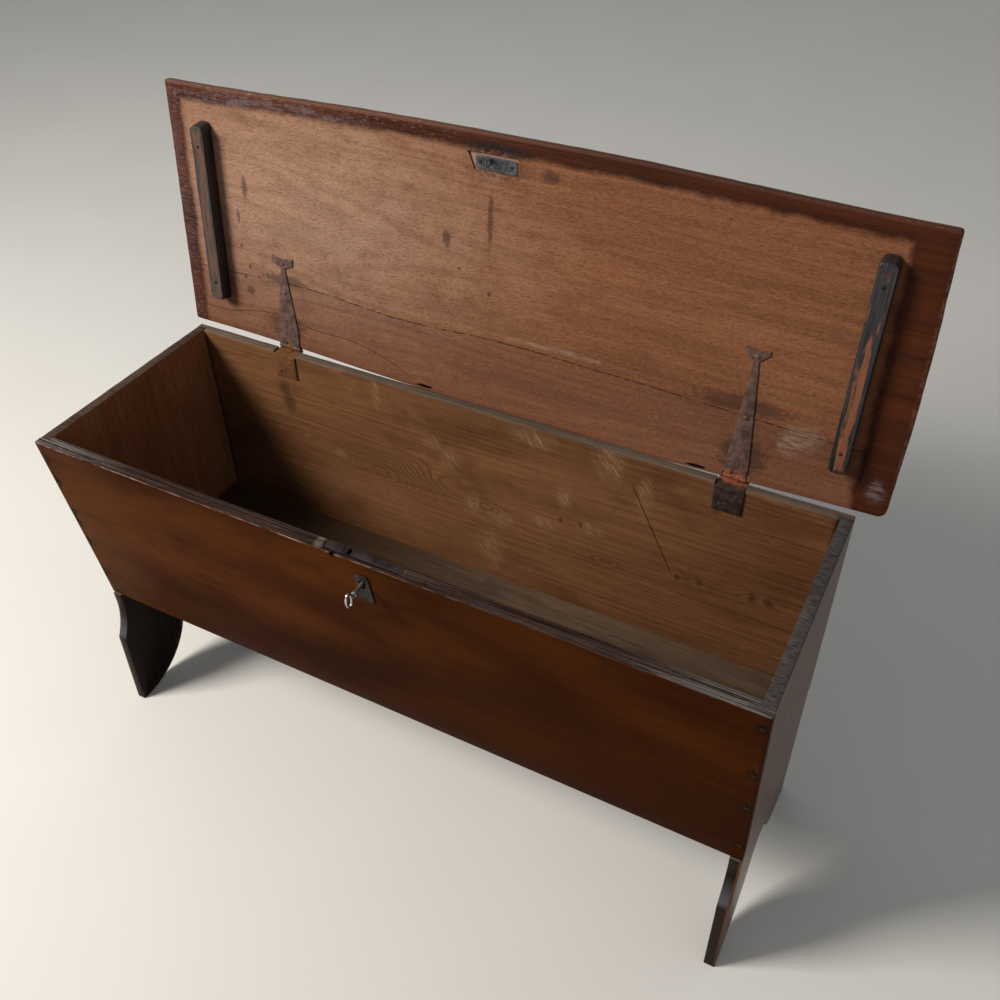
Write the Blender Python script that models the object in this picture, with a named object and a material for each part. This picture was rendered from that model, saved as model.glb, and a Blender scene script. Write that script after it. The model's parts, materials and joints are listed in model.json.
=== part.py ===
"""Six-plank chest of oak boards with boot-jack feet, a hinged lid, and a chest lock with its key.

Lengths are in metres. While it is modelled, X runs along the chest from its middle, Y runs back from
the front board's top outer edge, and Z runs up from the floor. The lid is modelled shut and then turned
open about its hinge axis. At the end the whole chest is moved so that the origin is on the floor under
the middle of its box.
"""
import math
from collections import namedtuple

import bmesh
import bpy
from mathutils import Matrix, Vector

# Clearances and cutters
GAP = 0.0003
PAST = 0.006
ROUND_SIDES = 20
ARC_STEPS = 8

# Case of five boards
CASE_LENGTH = 1.050
CASE_DEPTH = 0.356
RIM_HEIGHT = 0.565
WALL_BOTTOM = 0.235
FRONT_LEAN = math.radians(7.0)
FRONT_THICKNESS = 0.020
FRONT_LAP = 0.012
BACK_THICKNESS = 0.015
BACK_LAP = 0.008
END_THICKNESS = 0.016
BOTTOM_THICKNESS = 0.012
HOUSING_DEPTH = 0.006

# Feet cut in the end boards
LEDGE_REACH = 0.0025
LEDGE_HEIGHT = 0.009
COVE_DEPTH = 0.0065
BUMP_REACH = 0.0205
BUMP_DROP = 0.088
TOE_REACH = 0.0235
FRONT_TOE_WIDTH = 0.016
REAR_TOE_WIDTH = 0.0225
ARCH_RISE = 0.110
ARCH_TOP_RADIUS = 0.038
FOOT_START_ANGLE = math.radians(3.0)

# Lid and its battens
LID_THICKNESS = 0.017
LID_OVERHANG_LEFT = 0.011
LID_OVERHANG_RIGHT = 0.034
LID_OVERHANG_FRONT = 0.021
LID_EDGE_ROUND = 0.008
LID_EDGE_STEPS = 3
LID_OPENING = math.radians(95.7)
BATTEN_WIDTH = 0.022
BATTEN_HEIGHT = 0.020
BATTEN_CHAMFER = 0.004
BATTEN_END_SLOPE = 0.009
BATTEN_REAR_CLEARANCE = 0.035
LEFT_BATTEN_SIDE_CLEARANCE = 0.030
RIGHT_BATTEN_SIDE_CLEARANCE = 0.008
LEFT_BATTEN_FRONT_CLEARANCE = 0.013
RIGHT_BATTEN_FRONT_CLEARANCE = 0.0045
BATTEN_NAIL_INSET = 0.032

# Strap hinges
HINGE_THICKNESS = 0.0022
KNUCKLE_RADIUS = 0.0045
KNUCKLE_LIFT = 0.0002
KNUCKLE_CLEARANCE = 0.0005
HINGE_BORE_RADIUS = 0.0021
HINGE_PIN_RADIUS = 0.0018
HINGE_PIN_END = 0.0015
HINGE_SIDE_GAP = 0.0004
LEAF_WIDTH = 0.040
LEAF_DROP = 0.040
LEAF_KNUCKLE_WIDTH = 0.011
LEAF_STRAP_GAP = 0.0004
LEAF_WEB_REACH = 0.0015
NOTCH_SIDE = 0.001
NOTCH_FRONT_GAP = 0.001
STRAP_NECK_WIDTH = 0.007
STRAP_TAIL_LENGTH = 0.017
STRAP_TAIL_NOTCH = 0.005
STRAP_SHOULDER = 0.024
STRAP_FIRST_NAIL = 0.016
STRAP_MIDDLE_NAIL = 0.086
STRAP_TAIL_NAIL = 0.010
LEAF_NAIL_SIDE = 0.010
LEAF_UPPER_NAIL_DROP = 0.014
LEAF_LOWER_NAIL_DROP = 0.032

LEFT_HINGE_INSET = 0.175
LEFT_STRAP_BASE = 0.038
LEFT_STRAP_TAIL = 0.037
LEFT_STRAP_LENGTH = 0.142
RIGHT_HINGE_INSET = 0.159
RIGHT_STRAP_BASE = 0.030
RIGHT_STRAP_TAIL = 0.031
RIGHT_STRAP_LENGTH = 0.182

# Lock let into the front board's top edge and inner face
LOCK_X = 0.015
LOCK_FRONT_WOOD = 0.0065
LOCK_PLATE_THICKNESS = 0.002
LOCK_PLATE_DROP = 0.062
LOCK_PLATE_MARGIN = 0.004
SELVEDGE_MARGIN = 0.009
SELVEDGE_THICKNESS = 0.002
KEY_DROP = 0.036
KEY_SHANK_RADIUS = 0.0026
KEY_END_CLEARANCE = 0.0015
KEY_REACH = 0.026
KEY_COLLAR_RADIUS = 0.004
KEY_COLLAR_PLACE = 0.018
KEY_COLLAR_LENGTH = 0.003
KEY_BOW_LENGTH = 0.014
KEY_BOW_HEIGHT = 0.025
KEY_BOW_BAR = 0.003
BIT_RADIUS = 0.011
BIT_THICKNESS = 0.003
BIT_GRIP = 0.0025
BIT_CLEARANCE = 0.0017
PIPE_RADIUS = 0.0018
DRILL_PIN_RADIUS = 0.0014
DRILL_PIN_LENGTH = 0.013
BOLT_THICKNESS = 0.004
BOLT_THROW = 0.015
BOLT_BODY_HEIGHT = 0.0105
BOLT_LEG = 0.005
BOLT_ARM = 0.008
BOLT_TAIL_HEIGHT = 0.0045
BOLT_HEAD_HEIGHT = 0.006
BOLT_HEAD_DROP = 0.0075
BOLT_HEAD_REST = 0.0065
BOLT_END_ROOM = 0.0015
TALON_ROOM = 0.0005
TALON_SIDE_ROOM = 0.0011
GUIDE_WIDTH = 0.0035
GUIDE_THICKNESS = 0.002
GUIDE_SIDE_ROOM = 0.001
STAPLE_OFFSET = 0.021
STAPLE_THICKNESS = 0.0025
STAPLE_DROP = 0.015
STAPLE_WALL = 0.0012
STAPLE_FOOT = 0.002
STAPLE_BOLT_ROOM = 0.0008
STAPLE_SLOT_ROOM = 0.0008
LINK_LENGTH = 0.059
LINK_WIDTH = 0.017
LINK_THICKNESS = 0.002
LINK_OFFSET_X = 0.007
LINK_OFFSET_Y = 0.0035
LINK_NAIL_INSET = 0.007
ESCUTCHEON_WIDTH = 0.022
ESCUTCHEON_HEIGHT = 0.049
ESCUTCHEON_THICKNESS = 0.0015
ESCUTCHEON_BELOW_KEY = 0.0105
ESCUTCHEON_PIN_INSET = 0.0055
KEYHOLE_RADIUS = 0.0042
KEYHOLE_ROOM = 0.0008

# Hand-forged square nails, given by half widths
NAIL_HEAD = 0.0026
NAIL_RISE = 0.0015
NAIL_SHANK = 0.0014
NAIL_TIP = 0.0007
FRONT_NAIL_LENGTH = 0.038
BACK_NAIL_LENGTH = 0.034
BATTEN_NAIL_LENGTH = 0.030
CLOUT_HEAD = 0.0022
CLOUT_RISE = 0.0010
CLOUT_SHANK = 0.0011
CLOUT_TIP = 0.0007
CLOUT_LENGTH = 0.012
TACK_HEAD = 0.0018
TACK_RISE = 0.0008
TACK_SHANK = 0.0009
TACK_TIP = 0.0006
TACK_LENGTH = 0.009

# Shares of a board's height at which its nails are driven
LEFT_FRONT_NAILS = (0.91, 0.76, 0.58, 0.51, 0.38, 0.17)
RIGHT_FRONT_NAILS = (0.92, 0.63, 0.40, 0.11)
BACK_NAILS = (0.85, 0.50, 0.15)

# Kinds of hinge and nail
Hinge = namedtuple("Hinge", "side x base tail length")
Nail = namedtuple("Nail", "head rise shank tip length")
FRONT_NAIL = Nail(NAIL_HEAD, NAIL_RISE, NAIL_SHANK, NAIL_TIP, FRONT_NAIL_LENGTH)
BACK_NAIL = Nail(NAIL_HEAD, NAIL_RISE, NAIL_SHANK, NAIL_TIP, BACK_NAIL_LENGTH)
BATTEN_NAIL = Nail(NAIL_HEAD, NAIL_RISE, NAIL_SHANK, NAIL_TIP, BATTEN_NAIL_LENGTH)
CLOUT = Nail(CLOUT_HEAD, CLOUT_RISE, CLOUT_SHANK, CLOUT_TIP, CLOUT_LENGTH)
TACK = Nail(TACK_HEAD, TACK_RISE, TACK_SHANK, TACK_TIP, TACK_LENGTH)

# Surfaces
Surface = namedtuple("Surface", "colour roughness metallic")
SURFACES = {
    "varnished_oak": Surface((0.20, 0.075, 0.035), 0.45, 0.0),
    "aged_oak": Surface((0.36, 0.21, 0.13), 0.65, 0.0),
    "forged_iron": Surface((0.09, 0.065, 0.05), 0.60, 0.9),
    "worn_steel": Surface((0.45, 0.44, 0.42), 0.40, 1.0),
}

# Places worked out from the sizes
half_case = CASE_LENGTH / 2
end_inner = half_case - END_THICKNESS
back_inner = CASE_DEPTH - BACK_THICKNESS
face_height = (RIM_HEIGHT - WALL_BOTTOM) / math.cos(FRONT_LEAN)
lid_underside = RIM_HEIGHT + GAP
strap_top = lid_underside - GAP
strap_bottom = strap_top - HINGE_THICKNESS
leaf_top = strap_bottom - LEAF_STRAP_GAP
leaf_bottom = leaf_top - HINGE_THICKNESS
axis_y = CASE_DEPTH + KNUCKLE_CLEARANCE + KNUCKLE_RADIUS
axis_z = strap_bottom + KNUCKLE_LIFT + KNUCKLE_RADIUS
lock_inner = FRONT_THICKNESS - LOCK_PLATE_THICKNESS
bolt_depth = (LOCK_FRONT_WOOD + lock_inner) / 2
staple_x = LOCK_X - STAPLE_OFFSET


def front_y(height, depth):
    """Y of the plane that lies `depth` behind the leaning front face, at a height above the floor."""
    return (RIM_HEIGHT - height) * math.tan(FRONT_LEAN) + depth / math.cos(FRONT_LEAN)


staple_y = front_y(RIM_HEIGHT - STAPLE_DROP / 2, bolt_depth)

for old in list(bpy.data.objects):
    bpy.data.objects.remove(old)

surface_of = {}


# Frames that the pieces hang from
def frame(name, place, turn=0.0, parent=None):
    """An empty at `place`, turned about X."""
    empty = bpy.data.objects.new(name, None)
    bpy.context.scene.collection.objects.link(empty)
    empty.location = place
    empty.rotation_euler = (turn, 0.0, 0.0)
    empty.parent = parent
    return empty


chest = frame("chest", (0, 0, 0))
front = frame("front_plane", (0, 0, RIM_HEIGHT), FRONT_LEAN, chest)
lid = frame("lid_axis", (0, axis_y, axis_z), 0.0, chest)
key_axis = frame("key_axis", (LOCK_X, 0, -KEY_DROP), 0.0, front)


# Solids
def solid(name, mesh, parent, surface):
    """A closed body of `parent`. The lid's bodies are drawn shut, so they are shifted to its axis."""
    if parent is lid:
        mesh.transform(Matrix.Translation(-lid.location))
    piece = bpy.data.objects.new(name, mesh)
    bpy.context.scene.collection.objects.link(piece)
    piece.parent = parent
    if surface:
        surface_of[name] = surface
    return piece


def prism(name, outline, along, low, high, parent, surface=None):
    """An outline of points (YZ for X, XZ for Y, XY for Z) drawn out along one axis from low to high."""
    place = {
        "X": lambda p, level: (level, p[0], p[1]),
        "Y": lambda p, level: (p[0], level, p[1]),
        "Z": lambda p, level: (p[0], p[1], level),
    }[along]
    build = bmesh.new()
    first = [build.verts.new(place(point, low)) for point in outline]
    second = [build.verts.new(place(point, high)) for point in outline]
    build.faces.new(first)
    build.faces.new(second)
    for index in range(len(outline)):
        after = (index + 1) % len(outline)
        build.faces.new((first[index], first[after], second[after], second[index]))
    bmesh.ops.recalc_face_normals(build, faces=build.faces)
    mesh = bpy.data.meshes.new(name)
    build.to_mesh(mesh)
    build.free()
    return solid(name, mesh, parent, surface)


def box(name, x_span, y_span, z_span, parent, surface=None):
    """A block between two values on each axis."""
    corners = [(y_span[0], z_span[0]), (y_span[1], z_span[0]), (y_span[1], z_span[1]), (y_span[0], z_span[1])]
    return prism(name, corners, "X", x_span[0], x_span[1], parent, surface)


def turned(name, rings, place, out, sides, parent, surface=None):
    """Rings of (height, radius) about an axis that starts at `place` and points `out`."""
    build = bmesh.new()
    loops = []
    for height, radius in rings:
        angles = [2 * math.pi * (step + 0.5) / sides for step in range(sides)]
        loops.append([build.verts.new((radius * math.cos(a), radius * math.sin(a), height)) for a in angles])
    build.faces.new(loops[0])
    build.faces.new(loops[-1])
    for upper, lower in zip(loops, loops[1:]):
        for index in range(sides):
            after = (index + 1) % sides
            build.faces.new((upper[index], upper[after], lower[after], lower[index]))
    bmesh.ops.recalc_face_normals(build, faces=build.faces)
    mesh = bpy.data.meshes.new(name)
    build.to_mesh(mesh)
    build.free()
    mesh.transform(Matrix.Translation(place) @ Vector(out).to_track_quat("Z", "Y").to_matrix().to_4x4())
    return solid(name, mesh, parent, surface)


def rod(name, radius, x_span, y, z, parent, surface=None):
    """A round bar along X."""
    rings = [(0.0, radius), (x_span[1] - x_span[0], radius)]
    return turned(name, rings, (x_span[0], y, z), (1, 0, 0), ROUND_SIDES, parent, surface)


def shape(pieces, tool, operation="DIFFERENCE"):
    """Cut the tool out of each piece, or join it on, and then take the tool away."""
    for piece in pieces:
        change = piece.modifiers.new("shape", "BOOLEAN")
        change.operation = operation
        change.solver = "EXACT"
        change.object = tool
        bpy.context.view_layer.update()
        shaped = piece.evaluated_get(bpy.context.evaluated_depsgraph_get())
        mesh = bpy.data.meshes.new_from_object(shaped)
        piece.modifiers.remove(change)
        piece.data = mesh
    bpy.data.objects.remove(tool)


def arc(centre, radius, start, end, steps):
    """Points on a circle from one angle to another."""
    angles = [start + (end - start) * step / steps for step in range(steps + 1)]
    return [(centre[0] + radius * math.cos(a), centre[1] + radius * math.sin(a)) for a in angles]


def bowed(start, end, rise, steps):
    """Points on the arc between two points that rises to the left of the straight way between them."""
    first = Vector(start)
    along = Vector(end) - first
    half = along.length / 2
    along.normalize()
    left = Vector((-along.y, along.x))
    radius = (half * half + rise * rise) / (2 * rise)
    centre = first + along * half - left * (radius - rise)
    reach = math.asin(half / radius)
    turns = [reach * (2 * step / steps - 1) for step in range(steps + 1)]
    return [tuple(centre + left * (radius * math.cos(t)) + along * (radius * math.sin(t))) for t in turns]


def nail(name, kind, place, out, parent, pieces, surface="forged_iron"):
    """A square nail, its head level with the surface, in a hole that clears it."""
    corner = math.sqrt(2)
    rings = ((0.0, kind.head), (-kind.rise, kind.head), (-kind.rise, kind.shank), (-kind.length, kind.tip))
    grown = ((PAST, kind.head), (-kind.rise - GAP, kind.head), (-kind.rise - GAP, kind.shank),
             (-kind.length - GAP, kind.tip))
    hole = [(height, (half + GAP) * corner) for height, half in grown]
    shape(pieces, turned("hole", hole, place, out, 4, parent))
    turned(name, [(height, half * corner) for height, half in rings], place, out, 4, parent, surface)


# Front board, leaning in towards its lower edge and lapped over the end boards
def make_front_board():
    def band(near, far, low, high):
        return [(front_y(low, near), low), (front_y(high, near), high),
                (front_y(high, far), high), (front_y(low, far), low)]

    outline = band(0.0, FRONT_THICKNESS, WALL_BOTTOM, RIM_HEIGHT)
    board = prism("front_board", outline, "X", -half_case, half_case, chest, "varnished_oak")
    lap = band(FRONT_LAP, FRONT_THICKNESS + PAST, WALL_BOTTOM - PAST, RIM_HEIGHT + PAST)
    shoulder = end_inner - GAP
    for low, high in ((-half_case - PAST, -shoulder), (shoulder, half_case + PAST)):
        shape([board], prism("lap", lap, "X", low, high, chest))
    return board


# Back board, upright and lapped over the end boards
def make_back_board():
    board = box("back_board", (-half_case, half_case), (back_inner, CASE_DEPTH), (WALL_BOTTOM, RIM_HEIGHT),
                chest, "aged_oak")
    shoulder = end_inner - GAP
    for span in ((-half_case - PAST, -shoulder), (shoulder, half_case + PAST)):
        lap = box("lap", span, (back_inner - PAST, CASE_DEPTH - BACK_LAP),
                  (WALL_BOTTOM - PAST, RIM_HEIGHT + PAST), chest)
        shape([board], lap)
    return board


# End boards, with an ogee arch between the feet and a coved front edge
def end_outline():
    set_back = front_y(WALL_BOTTOM, 0.0)
    edge_depth = FRONT_LAP + GAP
    ledge_top = WALL_BOTTOM - GAP
    ledge_y = set_back - LEDGE_REACH
    rear = CASE_DEPTH - BACK_LAP - GAP
    bump = (set_back - BUMP_REACH, WALL_BOTTOM - BUMP_DROP)
    toe = set_back - TOE_REACH
    heel = Vector((toe + FRONT_TOE_WIDTH, 0.0))
    middle = (heel.x + rear - REAR_TOE_WIDTH) / 2
    crown = Vector((middle, ARCH_RISE - ARCH_TOP_RADIUS))

    # The foot's curve leaves the heel at a small angle and runs into the arch's round top without a corner
    inward = Vector((-math.sin(FOOT_START_ANGLE), math.cos(FOOT_START_ANGLE)))
    offset = heel - crown
    swell = ARCH_TOP_RADIUS - offset.dot(inward)
    foot_radius = (offset.length_squared - ARCH_TOP_RADIUS ** 2) / (2 * swell)
    foot_centre = heel + inward * foot_radius
    towards = crown - foot_centre
    meet = math.atan2(towards.y, towards.x)
    foot = arc(foot_centre, foot_radius, FOOT_START_ANGLE - math.pi / 2, meet, ARC_STEPS)
    half_crown = arc(crown, ARCH_TOP_RADIUS, meet + math.pi, math.pi / 2, ARC_STEPS)
    near_side = foot + half_crown[1:]
    far_side = [(2 * middle - y, z) for y, z in reversed(near_side[:-1])]

    cove = bowed((ledge_y, ledge_top - LEDGE_HEIGHT), bump, COVE_DEPTH, ARC_STEPS)
    front_edge = [(front_y(RIM_HEIGHT, edge_depth), RIM_HEIGHT), (front_y(ledge_top, edge_depth), ledge_top),
                  (ledge_y, ledge_top)]
    return front_edge + cove + [(toe, 0.0)] + near_side + far_side + [(rear, 0.0), (rear, RIM_HEIGHT)]


def bottom_outline(grow):
    low = WALL_BOTTOM - grow
    high = WALL_BOTTOM + BOTTOM_THICKNESS + grow
    depth = FRONT_THICKNESS + GAP - grow
    rear = back_inner - GAP + grow
    return [(front_y(low, depth), low), (front_y(high, depth), high), (rear, high), (rear, low)]


def make_end_boards():
    left = prism("left_end_board", end_outline(), "X", -half_case, -end_inner, chest, "aged_oak")
    right = prism("right_end_board", end_outline(), "X", end_inner, half_case, chest, "aged_oak")
    housed = end_inner + HOUSING_DEPTH
    shape([left, right], prism("housing", bottom_outline(GAP), "X", -housed, housed, chest))
    prism("bottom_board", bottom_outline(0.0), "X", GAP - housed, housed - GAP, chest, "aged_oak")
    return left, right


def nail_case(front_board, back_board, ends):
    nail_x = half_case - END_THICKNESS / 2
    sides = (("left", -nail_x, LEFT_FRONT_NAILS, ends[0]), ("right", nail_x, RIGHT_FRONT_NAILS, ends[1]))
    for side, x, front_shares, end in sides:
        for number, share in enumerate(front_shares, 1):
            place = (x, 0.0, face_height * (share - 1))
            nail(f"{side}_front_nail_{number}", FRONT_NAIL, place, (0, -1, 0), front, [front_board, end])
        for number, share in enumerate(BACK_NAILS, 1):
            height = WALL_BOTTOM + (RIM_HEIGHT - WALL_BOTTOM) * share
            place = (x, CASE_DEPTH, height)
            nail(f"{side}_back_nail_{number}", BACK_NAIL, place, (0, 1, 0), chest, [back_board, end])


# Lid plank with its upper edges rounded, and two battens across its underside
def make_lid():
    outline = [(-half_case - LID_OVERHANG_LEFT, -LID_OVERHANG_FRONT),
               (half_case + LID_OVERHANG_RIGHT, -LID_OVERHANG_FRONT),
               (half_case + LID_OVERHANG_RIGHT, CASE_DEPTH), (-half_case - LID_OVERHANG_LEFT, CASE_DEPTH)]
    board = prism("lid_board", outline, "Z", lid_underside, lid_underside + LID_THICKNESS, lid, "aged_oak")
    build = bmesh.new()
    build.from_mesh(board.data)
    top = max(vert.co.z for vert in build.verts)
    rear = max(vert.co.y for vert in build.verts)
    is_top = [all(vert.co.z == top for vert in edge.verts) for edge in build.edges]
    is_rear = [all(vert.co.y == rear for vert in edge.verts) for edge in build.edges]
    rounded = [edge for edge, up, back in zip(build.edges, is_top, is_rear) if up and not back]
    bmesh.ops.bevel(build, geom=rounded, offset=LID_EDGE_ROUND, segments=LID_EDGE_STEPS, profile=0.5,
                    affect="EDGES")
    build.to_mesh(board.data)
    build.free()
    return board


def make_batten(side, outer_x, inner_x, front_clearance, lid_board):
    low = strap_top - BATTEN_HEIGHT
    near = front_y(low, FRONT_THICKNESS) + front_clearance
    far = back_inner - BATTEN_REAR_CLEARANCE
    left, right = sorted((outer_x, inner_x))
    section = [(left, strap_top), (right, strap_top), (right, low + BATTEN_CHAMFER),
               (right - BATTEN_CHAMFER, low), (left + BATTEN_CHAMFER, low), (left, low + BATTEN_CHAMFER)]
    batten = prism(f"{side}_batten", section, "Y", near, far, lid, "aged_oak")
    for end_y, inward in ((near, 1), (far, -1)):
        slope = BATTEN_END_SLOPE * inward
        lean = slope * PAST / BATTEN_HEIGHT
        wedge = [(end_y - lean, strap_top + PAST), (end_y + slope + lean, low - PAST),
                 (end_y - inward * PAST - lean, low - PAST), (end_y - inward * PAST - lean, strap_top + PAST)]
        shape([batten], prism("wedge", wedge, "X", left - PAST, right + PAST, lid))
    middle = (left + right) / 2
    for number, y in enumerate((near + BATTEN_NAIL_INSET, far - BATTEN_NAIL_INSET), 1):
        place = (middle, y, low)
        nail(f"{side}_batten_nail_{number}", BATTEN_NAIL, place, (0, 0, -1), lid, [batten, lid_board])


def make_battens(lid_board):
    left_outer = LEFT_BATTEN_SIDE_CLEARANCE - end_inner
    right_outer = end_inner - RIGHT_BATTEN_SIDE_CLEARANCE
    make_batten("left", left_outer, left_outer + BATTEN_WIDTH, LEFT_BATTEN_FRONT_CLEARANCE, lid_board)
    make_batten("right", right_outer, right_outer - BATTEN_WIDTH, RIGHT_BATTEN_FRONT_CLEARANCE, lid_board)


# Strap hinges: a tapering strap on the lid, a leaf over the back board's edge, and a pin
def make_strap(hinge, lid_board):
    x = hinge.x
    base = hinge.base / 2
    tail = hinge.tail / 2
    neck = STRAP_NECK_WIDTH / 2
    inner = LEAF_KNUCKLE_WIDTH / 2 + HINGE_SIDE_GAP
    shoulder_y = CASE_DEPTH - STRAP_SHOULDER
    tip_y = CASE_DEPTH - hinge.length
    neck_y = tip_y + STRAP_TAIL_LENGTH
    slot_y = CASE_DEPTH - NOTCH_FRONT_GAP
    half = [(inner, slot_y), (inner, axis_y), (base, axis_y), (base, shoulder_y), (neck, neck_y), (tail, tip_y),
            (0.0, tip_y + STRAP_TAIL_NOTCH)]
    outline = [(x + px, py) for px, py in half] + [(x - px, py) for px, py in reversed(half[:-1])]
    name = f"{hinge.side}_hinge_strap"
    strap = prism(name, outline, "Z", strap_bottom, strap_top, lid, "forged_iron")
    for span in ((x - base, x - inner), (x + inner, x + base)):
        shape([strap], rod("knuckle", KNUCKLE_RADIUS, span, axis_y, axis_z, lid), "UNION")
    bore = rod("bore", HINGE_BORE_RADIUS, (x - base - PAST, x + base + PAST), axis_y, axis_z, lid)
    shape([strap], bore)
    nail_rows = (STRAP_FIRST_NAIL, STRAP_MIDDLE_NAIL, hinge.length - STRAP_TAIL_NAIL)
    for number, back in enumerate(nail_rows, 1):
        place = (x, CASE_DEPTH - back, strap_bottom)
        nail(f"{hinge.side}_strap_nail_{number}", CLOUT, place, (0, 0, -1), lid, [strap, lid_board])


def make_leaf(hinge, back_board):
    x = hinge.x
    half = LEAF_WIDTH / 2
    knuckle = LEAF_KNUCKLE_WIDTH / 2
    outer = back_inner - GAP
    inner = outer - HINGE_THICKNESS
    low = leaf_top - LEAF_DROP
    notch = box("notch", (x - half - NOTCH_SIDE, x + half + NOTCH_SIDE), (back_inner - PAST, CASE_DEPTH + PAST),
                (leaf_bottom - GAP, RIM_HEIGHT + PAST), chest)
    shape([back_board], notch)
    section = [(inner, low), (outer, low), (outer, leaf_bottom), (CASE_DEPTH, leaf_bottom),
               (CASE_DEPTH, leaf_top), (inner, leaf_top)]
    leaf = prism(f"{hinge.side}_hinge_leaf", section, "X", x - half, x + half, chest, "forged_iron")
    span = (x - knuckle, x + knuckle)
    web_front = CASE_DEPTH - NOTCH_FRONT_GAP / 2
    web_y = (web_front, axis_y + LEAF_WEB_REACH)
    web_top = axis_z - (HINGE_BORE_RADIUS + KNUCKLE_RADIUS) / 2
    shape([leaf], box("web", span, web_y, (leaf_bottom, web_top), chest), "UNION")
    shape([leaf], rod("knuckle", KNUCKLE_RADIUS, span, axis_y, axis_z, chest), "UNION")
    bore = rod("bore", HINGE_BORE_RADIUS, (span[0] - PAST, span[1] + PAST), axis_y, axis_z, chest)
    shape([leaf], bore)
    nail_places = ((x + LEAF_NAIL_SIDE, LEAF_UPPER_NAIL_DROP), (x - LEAF_NAIL_SIDE, LEAF_LOWER_NAIL_DROP))
    for number, (nail_x, drop) in enumerate(nail_places, 1):
        place = (nail_x, inner, RIM_HEIGHT - drop)
        nail(f"{hinge.side}_leaf_nail_{number}", CLOUT, place, (0, -1, 0), chest, [leaf, back_board])


def make_hinges(lid_board, back_board):
    left_x = LEFT_HINGE_INSET - half_case
    right_x = half_case - RIGHT_HINGE_INSET
    hinges = (Hinge("left", left_x, LEFT_STRAP_BASE, LEFT_STRAP_TAIL, LEFT_STRAP_LENGTH),
              Hinge("right", right_x, RIGHT_STRAP_BASE, RIGHT_STRAP_TAIL, RIGHT_STRAP_LENGTH))
    for hinge in hinges:
        make_strap(hinge, lid_board)
        make_leaf(hinge, back_board)
        reach = hinge.base / 2 + HINGE_PIN_END
        span = (hinge.x - reach, hinge.x + reach)
        rod(f"{hinge.side}_hinge_pin", HINGE_PIN_RADIUS, span, axis_y, axis_z, chest, "forged_iron")


# Lock: plate and selvedge, sliding bolt in two guides, drill pin, escutcheon, key, and the lid's staple.
# Heights in the front plane count down from the board's top outer edge, depths in from its outer face.
talon_x = LOCK_X + BOLT_THROW / 2
body_low = BIT_RADIUS - BIT_GRIP - KEY_DROP
body_top = body_low + BOLT_BODY_HEIGHT
talon_top = BIT_RADIUS + TALON_ROOM - KEY_DROP
bit_pass = math.acos((BIT_RADIUS - BIT_GRIP) / BIT_RADIUS)
talon_reach = BIT_RADIUS * math.sin(bit_pass) - BOLT_THROW * bit_pass / (2 * math.pi)
talon_half = talon_reach + BIT_THICKNESS / 2 + TALON_SIDE_ROOM
leg_left = talon_x - talon_half - BOLT_LEG
leg_right = talon_x + talon_half + BOLT_LEG
head_top = -BOLT_HEAD_DROP
head_low = head_top - BOLT_HEAD_HEIGHT
head_tip = staple_x + STAPLE_THICKNESS / 2 + BOLT_HEAD_REST
right_guide = leg_right + GUIDE_SIDE_ROOM
tail_end = right_guide + GUIDE_WIDTH + BOLT_THROW + GUIDE_SIDE_ROOM
lock_half = tail_end + BOLT_END_ROOM - LOCK_X
plate_half = lock_half + LOCK_PLATE_MARGIN
selvedge_half = plate_half + SELVEDGE_MARGIN


def make_lock_plate(front_board):
    floor = RIM_HEIGHT - SELVEDGE_THICKNESS
    near = front_y(RIM_HEIGHT, LOCK_FRONT_WOOD)
    far = front_y(RIM_HEIGHT, FRONT_THICKNESS)
    inner_edge = front_y(floor, FRONT_THICKNESS)
    lock_x = (LOCK_X - lock_half, LOCK_X + lock_half)
    plate_x = (LOCK_X - plate_half, LOCK_X + plate_half)
    selvedge_x = (LOCK_X - selvedge_half, LOCK_X + selvedge_half)

    past_face = FRONT_THICKNESS + PAST
    shape([front_board], box("pocket", lock_x, (LOCK_FRONT_WOOD, past_face),
                             (LOCK_PLATE_MARGIN - LOCK_PLATE_DROP, PAST), front))
    shape([front_board], box("bed", (plate_x[0] - GAP, plate_x[1] + GAP), (lock_inner - GAP, past_face),
                             (-LOCK_PLATE_DROP - GAP, PAST), front))
    shape([front_board], box("rebate", (selvedge_x[0] - GAP, selvedge_x[1] + GAP), (near, inner_edge + PAST),
                             (floor - GAP, RIM_HEIGHT + PAST), chest))

    sheet = box("lock_plate", plate_x, (lock_inner, FRONT_THICKNESS), (-LOCK_PLATE_DROP, PAST), front,
                "forged_iron")
    shape([sheet], box("above", (plate_x[0] - PAST, plate_x[1] + PAST), (near - PAST, inner_edge + 2 * PAST),
                       (RIM_HEIGHT, RIM_HEIGHT + 3 * PAST), chest))
    selvedge = [(near + GAP, floor), (inner_edge, floor), (far, RIM_HEIGHT), (near + GAP, RIM_HEIGHT)]
    shape([sheet], prism("selvedge", selvedge, "X", selvedge_x[0], selvedge_x[1], chest), "UNION")
    slot_x = STAPLE_THICKNESS / 2 + STAPLE_SLOT_ROOM
    slot_y = staple_half() + STAPLE_SLOT_ROOM
    shape([sheet], box("slot", (staple_x - slot_x, staple_x + slot_x), (staple_y - slot_y, staple_y + slot_y),
                       (floor - PAST, RIM_HEIGHT + PAST), chest))
    inset = LOCK_PLATE_MARGIN / 2 + GAP
    for number, x in enumerate((plate_x[0] + inset, plate_x[1] - inset), 1):
        place = (x, FRONT_THICKNESS, -KEY_DROP)
        nail(f"lock_plate_nail_{number}", TACK, place, (0, 1, 0), front, [sheet, front_board])


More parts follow.
